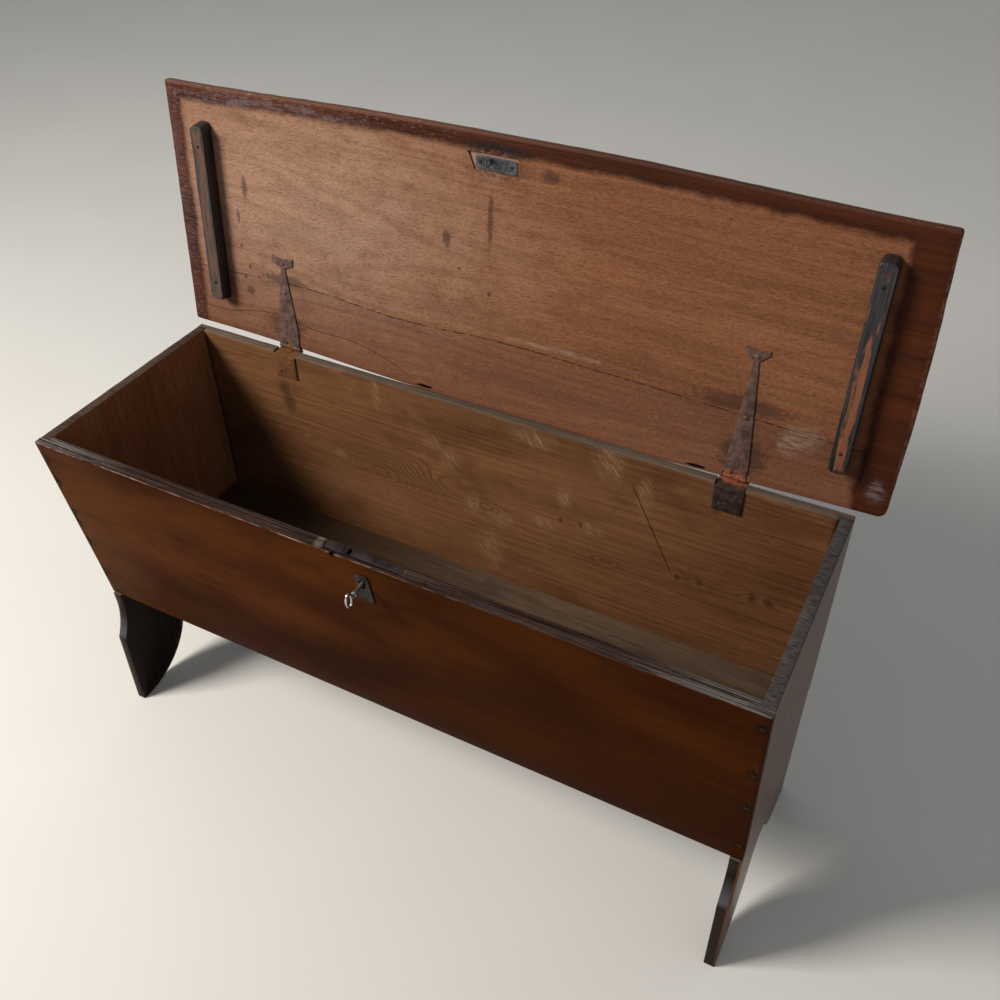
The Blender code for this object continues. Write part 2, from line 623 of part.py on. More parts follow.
def make_bolt():
    arm_left = talon_x
    arm_right = arm_left + BOLT_ARM
    tail_low = body_top - BOLT_TAIL_HEIGHT
    outline = [(leg_left, body_low), (leg_left + BOLT_LEG, body_low), (leg_left + BOLT_LEG, talon_top),
               (leg_right - BOLT_LEG, talon_top), (leg_right - BOLT_LEG, body_low), (leg_right, body_low),
               (leg_right, tail_low), (tail_end, tail_low), (tail_end, body_top), (arm_right, body_top),
               (arm_right, head_top), (head_tip, head_top), (head_tip, head_low), (arm_left, head_low),
               (arm_left, body_top), (leg_left, body_top)]
    near = bolt_depth - BOLT_THICKNESS / 2
    prism("lock_bolt", outline, "Y", near, near + BOLT_THICKNESS, front, "forged_iron")


def make_guide(name, x, low, high):
    near = bolt_depth - BOLT_THICKNESS / 2 - GAP
    foot = lock_inner - GAP
    section = [(foot, high + GAP + GUIDE_THICKNESS), (near - GUIDE_THICKNESS, high + GAP + GUIDE_THICKNESS),
               (near - GUIDE_THICKNESS, low - GAP - GUIDE_THICKNESS), (foot, low - GAP - GUIDE_THICKNESS),
               (foot, low - GAP), (near, low - GAP), (near, high + GAP), (foot, high + GAP)]
    prism(name, section, "X", x, x + GUIDE_WIDTH, front, "forged_iron")


def keyhole(name, near, far, room):
    """The key's way through: a round hole with a slot below it for the bit."""
    half = BIT_THICKNESS / 2 + room
    radius = KEYHOLE_RADIUS + room
    side = math.asin(half / radius)
    bottom = -BIT_RADIUS - room
    outline = arc((0.0, 0.0), radius, side - math.pi / 2, 1.5 * math.pi - side, 2 * ARC_STEPS)
    outline += [(-half, bottom), (half, bottom)]
    return prism(name, outline, "Y", near, far, key_axis)


def make_escutcheon(front_board):
    half = ESCUTCHEON_WIDTH / 2
    middle = -KEY_DROP - ESCUTCHEON_BELOW_KEY
    low = middle - ESCUTCHEON_HEIGHT / 2
    high = middle + ESCUTCHEON_HEIGHT / 2
    face = -GAP - ESCUTCHEON_THICKNESS
    plate = box("escutcheon", (LOCK_X - half, LOCK_X + half), (face, -GAP), (low, high), front, "forged_iron")
    shape([plate, front_board], keyhole("keyhole", face - PAST, LOCK_FRONT_WOOD + PAST, KEYHOLE_ROOM))
    for number, z in enumerate((high - ESCUTCHEON_PIN_INSET, low + ESCUTCHEON_PIN_INSET), 1):
        place = (LOCK_X, face, z)
        nail(f"escutcheon_pin_{number}", TACK, place, (0, -1, 0), front, [plate, front_board])


def make_key():
    end = lock_inner - KEY_END_CLEARANCE
    shank = KEY_SHANK_RADIUS
    collar = KEY_COLLAR_PLACE + KEY_COLLAR_LENGTH
    rings = [(-end, shank), (KEY_COLLAR_PLACE, shank), (KEY_COLLAR_PLACE, KEY_COLLAR_RADIUS),
             (collar, KEY_COLLAR_RADIUS), (collar, shank), (KEY_REACH, shank)]
    key = turned("key", rings, (0, 0, 0), (0, -1, 0), ROUND_SIDES, key_axis, "worn_steel")
    half = BIT_THICKNESS / 2
    bit = box("bit", (-half, half), (LOCK_FRONT_WOOD + BIT_CLEARANCE, lock_inner - BIT_CLEARANCE),
              (-BIT_RADIUS, 0.0), key_axis)
    shape([key], bit, "UNION")
    pipe = [(-end - PAST, PIPE_RADIUS), (DRILL_PIN_LENGTH + KEY_END_CLEARANCE - end, PIPE_RADIUS)]
    shape([key], turned("pipe", pipe, (0, 0, 0), (0, -1, 0), ROUND_SIDES, key_axis))

    bow_y = -KEY_REACH - KEY_BOW_LENGTH / 2 + KEY_BOW_BAR / 2
    around = [2 * math.pi * step / ROUND_SIDES for step in range(ROUND_SIDES)]

    def oval(inset):
        reach = KEY_BOW_LENGTH / 2 - inset
        rise = KEY_BOW_HEIGHT / 2 - inset
        return [(bow_y + reach * math.cos(a), rise * math.sin(a)) for a in around]

    bow = prism("bow", oval(0.0), "X", -KEY_BOW_BAR / 2, KEY_BOW_BAR / 2, key_axis)
    shape([bow], prism("eye", oval(KEY_BOW_BAR), "X", -PAST, PAST, key_axis))
    shape([key], bow, "UNION")


def make_drill_pin():
    foot = lock_inner - GAP
    rings = [(-foot, DRILL_PIN_RADIUS), (DRILL_PIN_LENGTH - foot, DRILL_PIN_RADIUS)]
    turned("drill_pin", rings, (LOCK_X, 0, -KEY_DROP), (0, -1, 0), ROUND_SIDES, front, "forged_iron")


def staple_half():
    """Half the staple's width: half the leaning bolt's reach, room around it, and a wall."""
    lean = BOLT_THICKNESS * math.cos(FRONT_LEAN) + BOLT_HEAD_HEIGHT * math.sin(FRONT_LEAN)
    return lean / 2 + STAPLE_BOLT_ROOM / 2 + STAPLE_WALL


def make_lid_staple(lid_board):
    x = staple_x + LINK_OFFSET_X
    y = staple_y + LINK_OFFSET_Y
    link_x = (x - LINK_LENGTH / 2, x + LINK_LENGTH / 2)
    link_y = (y - LINK_WIDTH / 2, y + LINK_WIDTH / 2)
    top = lid_underside + LINK_THICKNESS
    shape([lid_board], box("bed", (link_x[0] - GAP, link_x[1] + GAP), (link_y[0] - GAP, link_y[1] + GAP),
                           (lid_underside - PAST, top + GAP), lid))
    link = box("lid_staple", link_x, link_y, (lid_underside, top), lid, "worn_steel")
    half = staple_half()
    thick = STAPLE_THICKNESS / 2
    low = RIM_HEIGHT - STAPLE_DROP
    shape([link], box("staple", (staple_x - thick, staple_x + thick), (staple_y - half, staple_y + half),
                      (low, top - LINK_THICKNESS / 2), lid), "UNION")
    eye = half - STAPLE_WALL
    depth_rise = bolt_depth * math.sin(FRONT_LEAN)
    eye_top = RIM_HEIGHT + head_top * math.cos(FRONT_LEAN) + depth_rise + STAPLE_BOLT_ROOM
    shape([link], box("eye", (staple_x - PAST, staple_x + PAST), (staple_y - eye, staple_y + eye),
                      (low + STAPLE_FOOT, eye_top), lid))
    for number, nail_x in enumerate((link_x[0] + LINK_NAIL_INSET, link_x[1] - LINK_NAIL_INSET), 1):
        place = (nail_x, y, lid_underside)
        nail(f"lid_staple_nail_{number}", TACK, place, (0, 0, -1), lid, [link, lid_board])


def make_lock(front_board, lid_board):
    make_lock_plate(front_board)
    make_bolt()
    make_guide("left_bolt_guide", head_tip + GUIDE_SIDE_ROOM, head_low, head_top)
    make_guide("right_bolt_guide", right_guide, body_top - BOLT_TAIL_HEIGHT, body_top)
    make_drill_pin()
    make_escutcheon(front_board)
    make_key()
    make_lid_staple(lid_board)


# The whole chest
def paint():
    materials = {}
    for name, surface in SURFACES.items():
        material = bpy.data.materials.new(name)
        material.use_nodes = True
        shader = material.node_tree.nodes["Principled BSDF"]
        shader.inputs["Base Color"].default_value = (*surface.colour, 1.0)
        shader.inputs["Roughness"].default_value = surface.roughness
        shader.inputs["Metallic"].default_value = surface.metallic
        materials[name] = material
    for name, surface in surface_of.items():
        mesh = bpy.data.objects[name].data
        mesh.materials.clear()
        mesh.materials.append(materials[surface])


def settle():
    """Open the lid, then put the origin on the floor under the middle of the chest's box."""
    lid.rotation_euler.x = -LID_OPENING
    bpy.context.view_layer.update()
    corners = []
    for name in surface_of:
        piece = bpy.data.objects[name]
        corners += [piece.matrix_world @ vert.co for vert in piece.data.vertices]
    low = Vector(min(corner[i] for corner in corners) for i in range(3))
    high = Vector(max(corner[i] for corner in corners) for i in range(3))
    chest.location = (-(low.x + high.x) / 2, -(low.y + high.y) / 2, -low.z)
    bpy.context.view_layer.update()
    print("pieces", len(surface_of), "box", [round(v, 5) for v in high - low])
    for empty in (chest, lid, key_axis):
        print(empty.name, [round(v, 6) for v in empty.matrix_world.translation])
    print("key points out along", [round(v, 6) for v in -key_axis.matrix_world.col[1].xyz])


front_board = make_front_board()
back_board = make_back_board()
end_boards = make_end_boards()
lid_board = make_lid()
nail_case(front_board, back_board, end_boards)
make_battens(lid_board)
make_hinges(lid_board, back_board)
make_lock(front_board, lid_board)
paint()
settle()
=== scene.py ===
# %% [markdown]
# # A six-plank chest, dressed over its measured frame
# The chest is six nailed oak boards: a front, a back, two ends that run down into feet, a bottom and a lid.
# The frame gives every board and fitting its place. This lesson models the worn boards and the forged
# fittings over it, and finishes each one with wood, varnish, iron and steel made of shader nodes.

# %% Load the frame
import json
import math

import bpy
from mathutils import Matrix, Vector

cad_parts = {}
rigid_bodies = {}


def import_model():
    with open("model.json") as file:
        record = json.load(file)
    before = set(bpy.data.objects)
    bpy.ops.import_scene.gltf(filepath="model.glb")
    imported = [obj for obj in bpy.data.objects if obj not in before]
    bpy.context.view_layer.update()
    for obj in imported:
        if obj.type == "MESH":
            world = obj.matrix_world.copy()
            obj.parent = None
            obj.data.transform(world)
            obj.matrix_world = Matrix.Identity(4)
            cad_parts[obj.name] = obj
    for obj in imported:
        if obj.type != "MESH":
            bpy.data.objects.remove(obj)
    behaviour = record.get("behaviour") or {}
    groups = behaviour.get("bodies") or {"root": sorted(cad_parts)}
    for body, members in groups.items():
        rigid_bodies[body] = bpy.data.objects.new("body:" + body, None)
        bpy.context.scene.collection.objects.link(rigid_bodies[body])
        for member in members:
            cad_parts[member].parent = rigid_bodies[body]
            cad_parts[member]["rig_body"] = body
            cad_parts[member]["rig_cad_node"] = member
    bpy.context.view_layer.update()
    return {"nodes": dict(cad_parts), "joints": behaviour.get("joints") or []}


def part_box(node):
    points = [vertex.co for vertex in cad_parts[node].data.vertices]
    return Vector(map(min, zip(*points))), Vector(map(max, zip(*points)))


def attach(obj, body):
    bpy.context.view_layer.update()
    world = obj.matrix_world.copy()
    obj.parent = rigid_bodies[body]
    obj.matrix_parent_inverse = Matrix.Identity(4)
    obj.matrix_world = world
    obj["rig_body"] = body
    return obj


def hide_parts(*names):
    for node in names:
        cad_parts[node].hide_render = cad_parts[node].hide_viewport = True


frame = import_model()
nodes = frame["nodes"]

# %% [markdown]
# The boards and fittings share a few places: the rim, the front board's lean and the hinge line. They are
# measured from the frame's own nodes, so that a new piece lands where the frame's piece is.

# %% Places that the pieces share
front_low, front_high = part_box("front_board")
back_low, back_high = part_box("back_board")
joints = {joint["name"]: joint for joint in frame["joints"]}
RIM = front_high.z
WALL_FOOT = front_low.z
FRONT_Y = front_low.y
CASE_LEFT = front_low.x
CASE_RIGHT = front_high.x
CASE_MIDDLE = (CASE_LEFT + CASE_RIGHT) / 2
RIM_EDGE = (RIM - 0.0016, RIM - 0.0006)
LEAN = math.radians(7.0)
LID_OPENING = math.radians(95.7)
LID_AXIS = Vector(joints["lid_hinge"]["pos_m"])
open_lid = (Matrix.Translation(LID_AXIS) @ Matrix.Rotation(-LID_OPENING, 4, "X")
            @ Matrix.Translation(-LID_AXIS))
shut_lid = open_lid.inverted()
front_plane = Matrix.Translation((CASE_MIDDLE, FRONT_Y, RIM)) @ Matrix.Rotation(LEAN, 4, "X")


def box_in(node, space):
    """Lowest and highest corner of a frame node, seen from another space."""
    spots = [space @ vert.co for vert in nodes[node].data.vertices]
    low = Vector(min(spot[i] for spot in spots) for i in range(3))
    high = Vector(max(spot[i] for spot in spots) for i in range(3))
    return low, high


lid_low, lid_high = box_in("lid_board", shut_lid)
print("lid shut:", [round(v, 4) for v in lid_low], [round(v, 4) for v in lid_high])

# %% [markdown]
# The camera stands in front of the chest, to its right and well above it, and looks down into the case. Its
# place and turn came from matching the corners of the boards, so they are set as they are.

# %% Camera
CAMERA_PLACE = Vector((CASE_MIDDLE + 0.6065, FRONT_Y - 0.7277, 1.4391))
CAMERA_AROUND = math.radians(28.53)
CAMERA_DOWN = math.radians(40.175)
CAMERA_ROLL = math.radians(-1.09)
CAMERA_LENS = 37.93

bpy.ops.object.camera_add(location=CAMERA_PLACE)
camera = bpy.context.active_object
turn = (Matrix.Rotation(CAMERA_AROUND, 4, "Z") @ Matrix.Rotation(math.pi / 2 - CAMERA_DOWN, 4, "X")
        @ Matrix.Rotation(CAMERA_ROLL, 4, "Z"))
camera.rotation_euler = turn.to_euler()
camera.data.lens = CAMERA_LENS
bpy.context.scene.camera = camera
bpy.context.scene.view_settings.view_transform = "Standard"
print("camera at", [round(v, 3) for v in CAMERA_PLACE], "with a lens of", CAMERA_LENS)

# %% [markdown]
# A studio for furniture is a pale floor, one big soft lamp and light from all round. The lamp stands to the
# left and in front, as high as it is far out, so that the left end shades the inside of the case.

# %% Floor and light
FLOOR_SIZE = 14.0
LAMP_FROM = Vector((-0.61, -0.51, 0.61))
LAMP_AIM = Vector((0.0, 0.0, 0.45))
LAMP_DISTANCE = 3.6
LAMP_SIZE = 1.1
LAMP_POWER = 150.0
LAMP_COLOUR = (1.0, 0.965, 0.91)
ROOM_LIGHT = 0.30
ROOM_COLOUR = (0.92, 0.96, 1.0, 1.0)

bpy.ops.mesh.primitive_plane_add(size=FLOOR_SIZE, location=(0.0, 0.0, 0.0))
floor = bpy.context.active_object
floor.name = "studio_floor"

bpy.ops.object.light_add(type="AREA", location=LAMP_AIM + LAMP_FROM * LAMP_DISTANCE)
lamp = bpy.context.active_object
lamp.rotation_euler = (-LAMP_FROM).to_track_quat("-Z", "Y").to_euler()
lamp.data.size = LAMP_SIZE
lamp.data.energy = LAMP_POWER
lamp.data.color = LAMP_COLOUR

world = bpy.data.worlds.new("studio_room")
world.use_nodes = True
bpy.context.scene.world = world
world.node_tree.nodes["Background"].inputs["Color"].default_value = ROOM_COLOUR
world.node_tree.nodes["Background"].inputs["Strength"].default_value = ROOM_LIGHT
print("lamp", LAMP_POWER, "W at", [round(v, 2) for v in lamp.location])

# %% [markdown]
# Every finish is a small tree of shader nodes. Adding a node, setting its sockets and linking it are the
# same three steps each time, so they go into short helpers. A value is linked where it is a socket of
# another node, and set where it is a number.


# %% Helpers for finishes
def new_finish(name):
    """Start a material. The other helpers add their nodes to its tree until the next one is started."""
    global tree
    material = bpy.data.materials.new(name)
    material.use_nodes = True
    tree = material.node_tree
    return material, tree.nodes["Principled BSDF"]


def put(socket, value):
    if isinstance(value, bpy.types.NodeSocket):
        tree.links.new(value, socket)
    else:
        socket.default_value = value


def maths(work, *values):
    node = tree.nodes.new("ShaderNodeMath")
    node.operation = work
    for socket, value in zip(node.inputs, values):
        put(socket, value)
    return node.outputs[0]


def times(first, *others):
    for other in others:
        first = maths("MULTIPLY", first, other)
    return first


def scaled(value, share, start):
    """A value times a share, counted from a start."""
    return maths("MULTIPLY_ADD", value, share, start)


def less(first, second):
    return maths("SUBTRACT", first, second)


def vectors(work, *values):
    node = tree.nodes.new("ShaderNodeVectorMath")
    node.operation = work
    for socket, value in zip(node.inputs, values):
        put(socket, value)
    return node.outputs["Value" if work in ("LENGTH", "DISTANCE") else "Vector"]


def split(where):
    node = tree.nodes.new("ShaderNodeSeparateXYZ")
    put(node.inputs[0], where)
    return node.outputs[0], node.outputs[1], node.outputs[2]


def fade(value, start, end):
    """0 where value is at start, 1 where it is at end, with a smooth change between them."""
    node = tree.nodes.new("ShaderNodeMapRange")
    node.interpolation_type = "SMOOTHSTEP"
    put(node.inputs["Value"], value)
    put(node.inputs["From Min"], start)
    put(node.inputs["From Max"], end)
    return node.outputs["Result"]


def blend(amount, first, second):
    node = tree.nodes.new("ShaderNodeMix")
    node.data_type = "RGBA"
    put(node.inputs[0], amount)
    for socket, value in ((node.inputs[6], first), (node.inputs[7], second)):
        put(socket, (*value, 1.0) if isinstance(value, tuple) else value)
    return node.outputs[2]


def tint(colour, mask, amount, towards):
    """A colour that turns by an amount towards another one, where a mask says."""
    return blend(times(mask, amount), colour, towards)


def object_space(space=None):
    """Object coordinates, turned and moved into another space if one is given."""
    spot = tree.nodes.new("ShaderNodeTexCoord").outputs["Object"]
    if space is None:
        return spot
    node = tree.nodes.new("ShaderNodeMapping")
    put(node.inputs["Vector"], spot)
    node.inputs["Location"].default_value = space.to_translation()
    node.inputs["Rotation"].default_value = space.to_euler()
    return node.outputs[0]


def streaks(where, stretch, seed, detail=3.0, rough=0.5, warp=0.0):
    """Noise with so many waves to the metre along each direction: long streaks where one number is small."""
    spot = vectors("MULTIPLY_ADD", where, stretch, (seed, seed * 2.7, seed * 5.1))
    node = tree.nodes.new("ShaderNodeTexNoise")
    put(node.inputs["Vector"], spot)
    node.inputs["Scale"].default_value = 1.0
    node.inputs["Detail"].default_value = detail
    node.inputs["Roughness"].default_value = rough
    node.inputs["Distortion"].default_value = warp
    return node.outputs["Fac"]


def edge_gap(where, low, high):
    """Distance from the nearest edge of a box-shaped board: the middle one of the distances to its faces."""
    near = vectors("MINIMUM", vectors("SUBTRACT", where, tuple(low)),
                   vectors("SUBTRACT", tuple(high), where))
    x, y, z = split(near)
    small = maths("MINIMUM", x, y)
    large = maths("MAXIMUM", x, y)
    return maths("MAXIMUM", small, maths("MINIMUM", large, z))


def spot_mark(where, centre, reach, ragged, soft):
    """1 inside an oval mark and 0 outside it, with a ragged rim that is as soft as it is asked to be."""
    offset = vectors("DIVIDE", vectors("SUBTRACT", where, centre), reach)
    size = scaled(ragged, 0.8, vectors("LENGTH", offset))
    return fade(size, 1.0 + soft, 1.0 - soft)


def relief(shader, height, depth, strength=0.6):
    node = tree.nodes.new("ShaderNodeBump")
    node.inputs["Strength"].default_value = strength
    node.inputs["Distance"].default_value = depth
    put(node.inputs["Height"], height)
    put(shader.inputs["Normal"], node.outputs[0])


print("helpers for finishes are ready")

# %% [markdown]
# The floor is painted first. It is pale to look at, and the light that it throws back on the chest is warmer.

# %% Floor paint
FLOOR_DARK = (0.73, 0.70, 0.65)
FLOOR_LIGHT = (0.79, 0.76, 0.71)
FLOOR_BOUNCE = (0.46, 0.39, 0.29)
floor_paint, shader = new_finish("studio_floor_paint")
spot = object_space()
cloud = streaks(spot, (3.0, 3.0, 3.0), 1.0, 4.0)
seen = blend(cloud, FLOOR_DARK, FLOOR_LIGHT)
rays = tree.nodes.new("ShaderNodeLightPath").outputs
looked_at = maths("MAXIMUM", rays["Is Camera Ray"], rays["Is Glossy Ray"])
looked_at = maths("MAXIMUM", looked_at, rays["Is Transmission Ray"])
put(shader.inputs["Base Color"], blend(looked_at, FLOOR_BOUNCE, seen))
shader.inputs["Roughness"].default_value = 0.9
floor.data.materials.append(floor_paint)
print("floor painted with", floor_paint.name)

# %% [markdown]
# A board is finished in edit mode as on a bench: sawn into stations, its corners softened and its surface
# worn. The helpers below select by place, because there is no mouse, and call the same operators that a
# person would.

# %% Helpers for shaping
SHARP_ANGLE = math.radians(35)
SMOOTH_ANGLE = math.radians(32)
PAST = 0.01


def pick_only(*pieces):
    bpy.ops.object.select_all(action="DESELECT")
    for piece in pieces:
        piece.select_set(True)
    bpy.context.view_layer.objects.active = pieces[0]


def mark(piece, kind, chosen):
    """Go into edit mode with just these vertices, edges or faces selected."""
    pick_only(piece)
    bpy.ops.object.mode_set(mode="EDIT")
    bpy.ops.mesh.select_mode(type=kind)
    bpy.ops.mesh.select_all(action="DESELECT")
    bpy.ops.object.mode_set(mode="OBJECT")
    mesh = piece.data
    group = {"VERT": mesh.vertices, "EDGE": mesh.edges, "FACE": mesh.polygons}[kind]
    for index in chosen:
        group[index].select = True
    bpy.ops.object.mode_set(mode="EDIT")


def edge_middle(mesh, edge):
    a, b = (mesh.vertices[i].co for i in edge.vertices)
    return (a + b) / 2


def vertices_where(piece, wanted):
    return [vert.index for vert in piece.data.vertices if wanted(vert.co)]


def shift(piece, wanted, push, reach=0.0):
    """Move the vertices that pass a test, and with a reach also their neighbours, by a falling share."""
    mark(piece, "VERT", vertices_where(piece, wanted))
    bpy.ops.transform.translate(value=push, use_proportional_edit=reach > 0.0,
                                proportional_edit_falloff="SMOOTH", proportional_size=reach or 1.0)
    bpy.ops.object.mode_set(mode="OBJECT")


def divide(piece, axis, cuts):
    """Cut a blank across one of its directions, into cuts + 1 equal lengths."""
    mesh = piece.data
    chosen = []
    for edge in mesh.edges:
        a, b = (mesh.vertices[i].co for i in edge.vertices)
        along = b - a
        if abs(along[axis]) > 0.9 * along.length:
            chosen.append(edge.index)
    mark(piece, "EDGE", chosen)
    bpy.ops.mesh.subdivide(number_cuts=cuts)
    bpy.ops.object.mode_set(mode="OBJECT")


def saw(piece, axis, places):
    """Cut a board across one direction at the given places, without parting it."""
    along = Vector((0.0, 0.0, 0.0))
    along[axis] = 1.0
    pick_only(piece)
    bpy.ops.object.mode_set(mode="EDIT")
    for place in places:
        bpy.ops.mesh.select_all(action="SELECT")
        bpy.ops.mesh.bisect(plane_co=along * place, plane_no=along)
    bpy.ops.object.mode_set(mode="OBJECT")


def soften(piece, width, steps, wanted):
    """Bevel the sharp edges whose middle passes a test."""
    pick_only(piece)
    bpy.ops.object.mode_set(mode="EDIT")
    bpy.ops.mesh.select_mode(type="EDGE")
    bpy.ops.mesh.select_all(action="DESELECT")
    bpy.ops.mesh.edges_select_sharp(sharpness=SHARP_ANGLE)
    bpy.ops.object.mode_set(mode="OBJECT")
    mesh = piece.data
    chosen = [edge.index for edge in mesh.edges if edge.select and wanted(edge_middle(mesh, edge))]
    mark(piece, "EDGE", chosen)
    bpy.ops.mesh.bevel(offset=width, segments=steps, affect="EDGES")
    bpy.ops.object.mode_set(mode="OBJECT")


def weather(piece, size, depth, wanted, middle=0.5):
    """Push the surface in and out by a cloudy pattern where a test says."""
    pick_only(piece)
    clouds = bpy.data.textures.new(piece.name + "_wear", "CLOUDS")
    clouds.noise_scale = size
    clouds.noise_depth = 3
    wear = piece.modifiers.new("wear", "DISPLACE")
    wear.texture = clouds
    wear.texture_coords = "LOCAL"
    wear.strength = depth
    wear.mid_level = middle
    group = piece.vertex_groups.new(name="worn")
    group.add(vertices_where(piece, wanted), 1.0, "REPLACE")
    wear.vertex_group = "worn"
    bpy.ops.object.modifier_apply(modifier="wear")
    piece.vertex_groups.clear()


def cut_away(piece, cutter):
    """Cut another mesh out of a piece and throw the cutter away."""
    pick_only(piece)
    tool = piece.modifiers.new("cut", "BOOLEAN")
    tool.operation = "DIFFERENCE"
    tool.solver = "EXACT"
    tool.object = cutter
    bpy.ops.object.modifier_apply(modifier="cut")
    bpy.data.objects.remove(cutter)


def blank(name, low, high):
    """A block between two corners, to be shaped."""
    low, high = Vector(low), Vector(high)
    bpy.ops.object.select_all(action="DESELECT")
    bpy.ops.mesh.primitive_cube_add(size=1.0, location=(low + high) / 2, scale=high - low)
    piece = bpy.context.active_object
    piece.name = name
    bpy.ops.object.transform_apply(location=True, rotation=True, scale=True)
    return piece


def set_in(piece, space):
    """Take a piece from the bench into its place, and leave its object at the origin."""
    pick_only(piece)
    piece.matrix_world = space @ piece.matrix_world
    bpy.ops.object.transform_apply(location=True, rotation=True, scale=True)


def hand_over(piece, body, slot, material, *stands_for):
    """Shade a finished piece smooth, give it its material and its body, and hide the frame nodes that it
    stands for.
    """
    pick_only(piece)
    bpy.ops.object.shade_smooth_by_angle(angle=SMOOTH_ANGLE)
    piece.data.materials.clear()
    piece.data.materials.append(material)
    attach(piece, body)
    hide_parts(*stands_for)
    print(piece.name, len(piece.data.polygons), "faces on", body)


print("helpers for shaping are ready")

# %% [markdown]
# Oak shows three kinds of mark along its grain: broad contour lines of the yearly rings, fine fibre, and
# short dark pores. All three are noise stretched along the board; the ring lines come from the sine of a
# slow noise, which draws contours like those of a map.

# %% Marks of the grain
PORE_EDGE = (0.58, 0.72)
RING_COUNT = 110.0


def grain_marks(where, along, seed, knots=()):
    """Rings, fibre, pores and clouds for a board whose grain runs along the given axis."""
    def lengthwise(slow, fast):
        stretch = [fast, fast, fast]
        stretch[along] = slow
        return tuple(stretch)

    fibre = streaks(where, lengthwise(5.0, 190.0), seed + 1.3, 5.0, 0.62)
    slow = streaks(where, lengthwise(0.9, 8.0), seed, 2.0, 0.45, 0.4)
    slow = scaled(fibre, 0.030, slow)
    for centre, reach, rise, _ in knots:
        offset = vectors("DIVIDE", vectors("SUBTRACT", where, centre), reach)
        hill = fade(vectors("LENGTH", offset), 1.0, 0.0)
        slow = scaled(hill, rise, slow)
    rings = scaled(maths("SINE", times(slow, RING_COUNT)), 0.5, 0.5)
    pores = streaks(where, lengthwise(45.0, 1100.0), seed + 2.1, 2.0)
    cloud = streaks(where, lengthwise(2.2, 5.5), seed + 3.7, 4.0, 0.55)
    return rings, fibre, pores, cloud


print("oak's marks: ring lines, fibre, pores and clouds")

# %% [markdown]
# The front is the show side: a deep red-brown varnish, thicker and darker in its clouds, worn through to an
# orange glow where hands and cloths have rubbed. Iron has blackened the oak round each nail.

# %% Varnish of the front board
FRONT_DARK = (0.024, 0.0056, 0.0010)
FRONT_LIGHT = (0.068, 0.0176, 0.0030)
to_front = front_plane.inverted()
front_varnish, shader = new_finish("front_varnish")
spot = object_space(to_front)
x, depth, _ = split(spot)
world_z = split(object_space())[2]
rings, fibre, pores, cloud = grain_marks(spot, 0, 4.0)
patch = streaks(spot, (7.0, 7.0, 13.0), 9.0, 5.0, 0.6)
ragged = scaled(patch, 1.6, -0.8)
tone = scaled(fibre, 0.35, scaled(cloud, 0.75, -0.08))
colour = blend(fade(tone, 0.28, 0.72), FRONT_DARK, FRONT_LIGHT)
glows = ((-0.42, -0.07), (-0.36, -0.16), (-0.24, -0.05), (-0.12, -0.18), (-0.05, -0.04), (0.12, -0.12),
         (0.28, -0.03), (0.42, -0.10))
shades = ((-0.45, -0.21), (0.22, -0.16), (0.16, -0.32), (0.34, -0.33), (0.46, -0.24))
for places, reach, amount, towards in ((glows, (0.095, 1.0, 0.040), 0.40, (0.150, 0.044, 0.0066)),
                                       (shades, (0.085, 1.0, 0.035), 0.35, (0.018, 0.0062, 0.0020))):
    for across, up in places:
        colour = tint(colour, spot_mark(spot, (across, 0.0, up), reach, ragged, 0.9), amount, towards)
colour = tint(colour, fade(patch, 0.52, 0.72), 0.38, (0.022, 0.0075, 0.0023))
colour = tint(colour, fade(x, -0.05, 0.45), 0.40, (0.046, 0.0096, 0.0015))
# The front's left end is painted paler: a painted sheen, where the varnish catches the lamp.
left_end_sheen = times(fade(x, -0.36, -0.53), fade(cloud, 0.25, 0.60))
colour = tint(colour, left_end_sheen, 0.45, (0.155, 0.060, 0.020))
colour = tint(colour, rings, 0.18, (0.022, 0.007, 0.002))
colour = tint(colour, fade(pores, *PORE_EDGE), 0.55, (0.012, 0.005, 0.003))
for node in sorted(nodes):
    if "front_nail" in node:
        low, high = box_in(node, to_front)
        stain = spot_mark(spot, ((low.x + high.x) / 2, 0.0, (low.z + high.z) / 2), (0.007, 1.0, 0.009),
                          ragged, 0.7)
        colour = tint(colour, stain, 0.55, (0.009, 0.005, 0.003))
print("front varnish with", len(glows), "glows and", len(shades), "shades")

# %% [markdown]
# The top edge lost its varnish long ago and went grey, and its front corner is rubbed to pale bare wood. The
# inner face is plain aged oak. One material holds all of these, told apart by where a point lies.

# %% Bare edges of the front board
inside = fade(depth, 0.012, 0.016)
bare = blend(fibre, (0.070, 0.029, 0.012), (0.160, 0.072, 0.032))
colour = blend(inside, colour, bare)
rim = fade(world_z, *RIM_EDGE)
silver = streaks(spot, (6.0, 520.0, 520.0), 2.0, 5.0, 0.7)
rim_wood = blend(fade(silver, 0.40, 0.70), (0.018, 0.009, 0.007), (0.088, 0.058, 0.046))
silvery = times(fade(maths("ABSOLUTE", x), 0.34, 0.51), fade(silver, 0.42, 0.66))
rim_wood = blend(silvery, rim_wood, (0.220, 0.200, 0.188))
plate_low = box_in("lock_plate", to_front)[0]
fresh = spot_mark(spot, (plate_low.x - 0.008, 0.012, 0.0), (0.007, 0.010, 1.0), ragged, 0.4)
fresh = times(fresh, fade(silver, 0.30, 0.62))
rim_wood = tint(rim_wood, fresh, 0.8, (0.20, 0.155, 0.120))
colour = blend(rim, colour, rim_wood)
chafe = streaks(spot, (60.0, 400.0, 400.0), 6.0, 5.0, 0.75)
arris = times(fade(world_z, RIM - 0.0017, RIM - 0.0009), fade(depth, 0.0011, 0.0004),
              fade(chafe, 0.38, 0.62), scaled(fade(x, 0.22, -0.10), 0.75, 0.15))
colour = blend(arris, colour, (0.34, 0.21, 0.155))
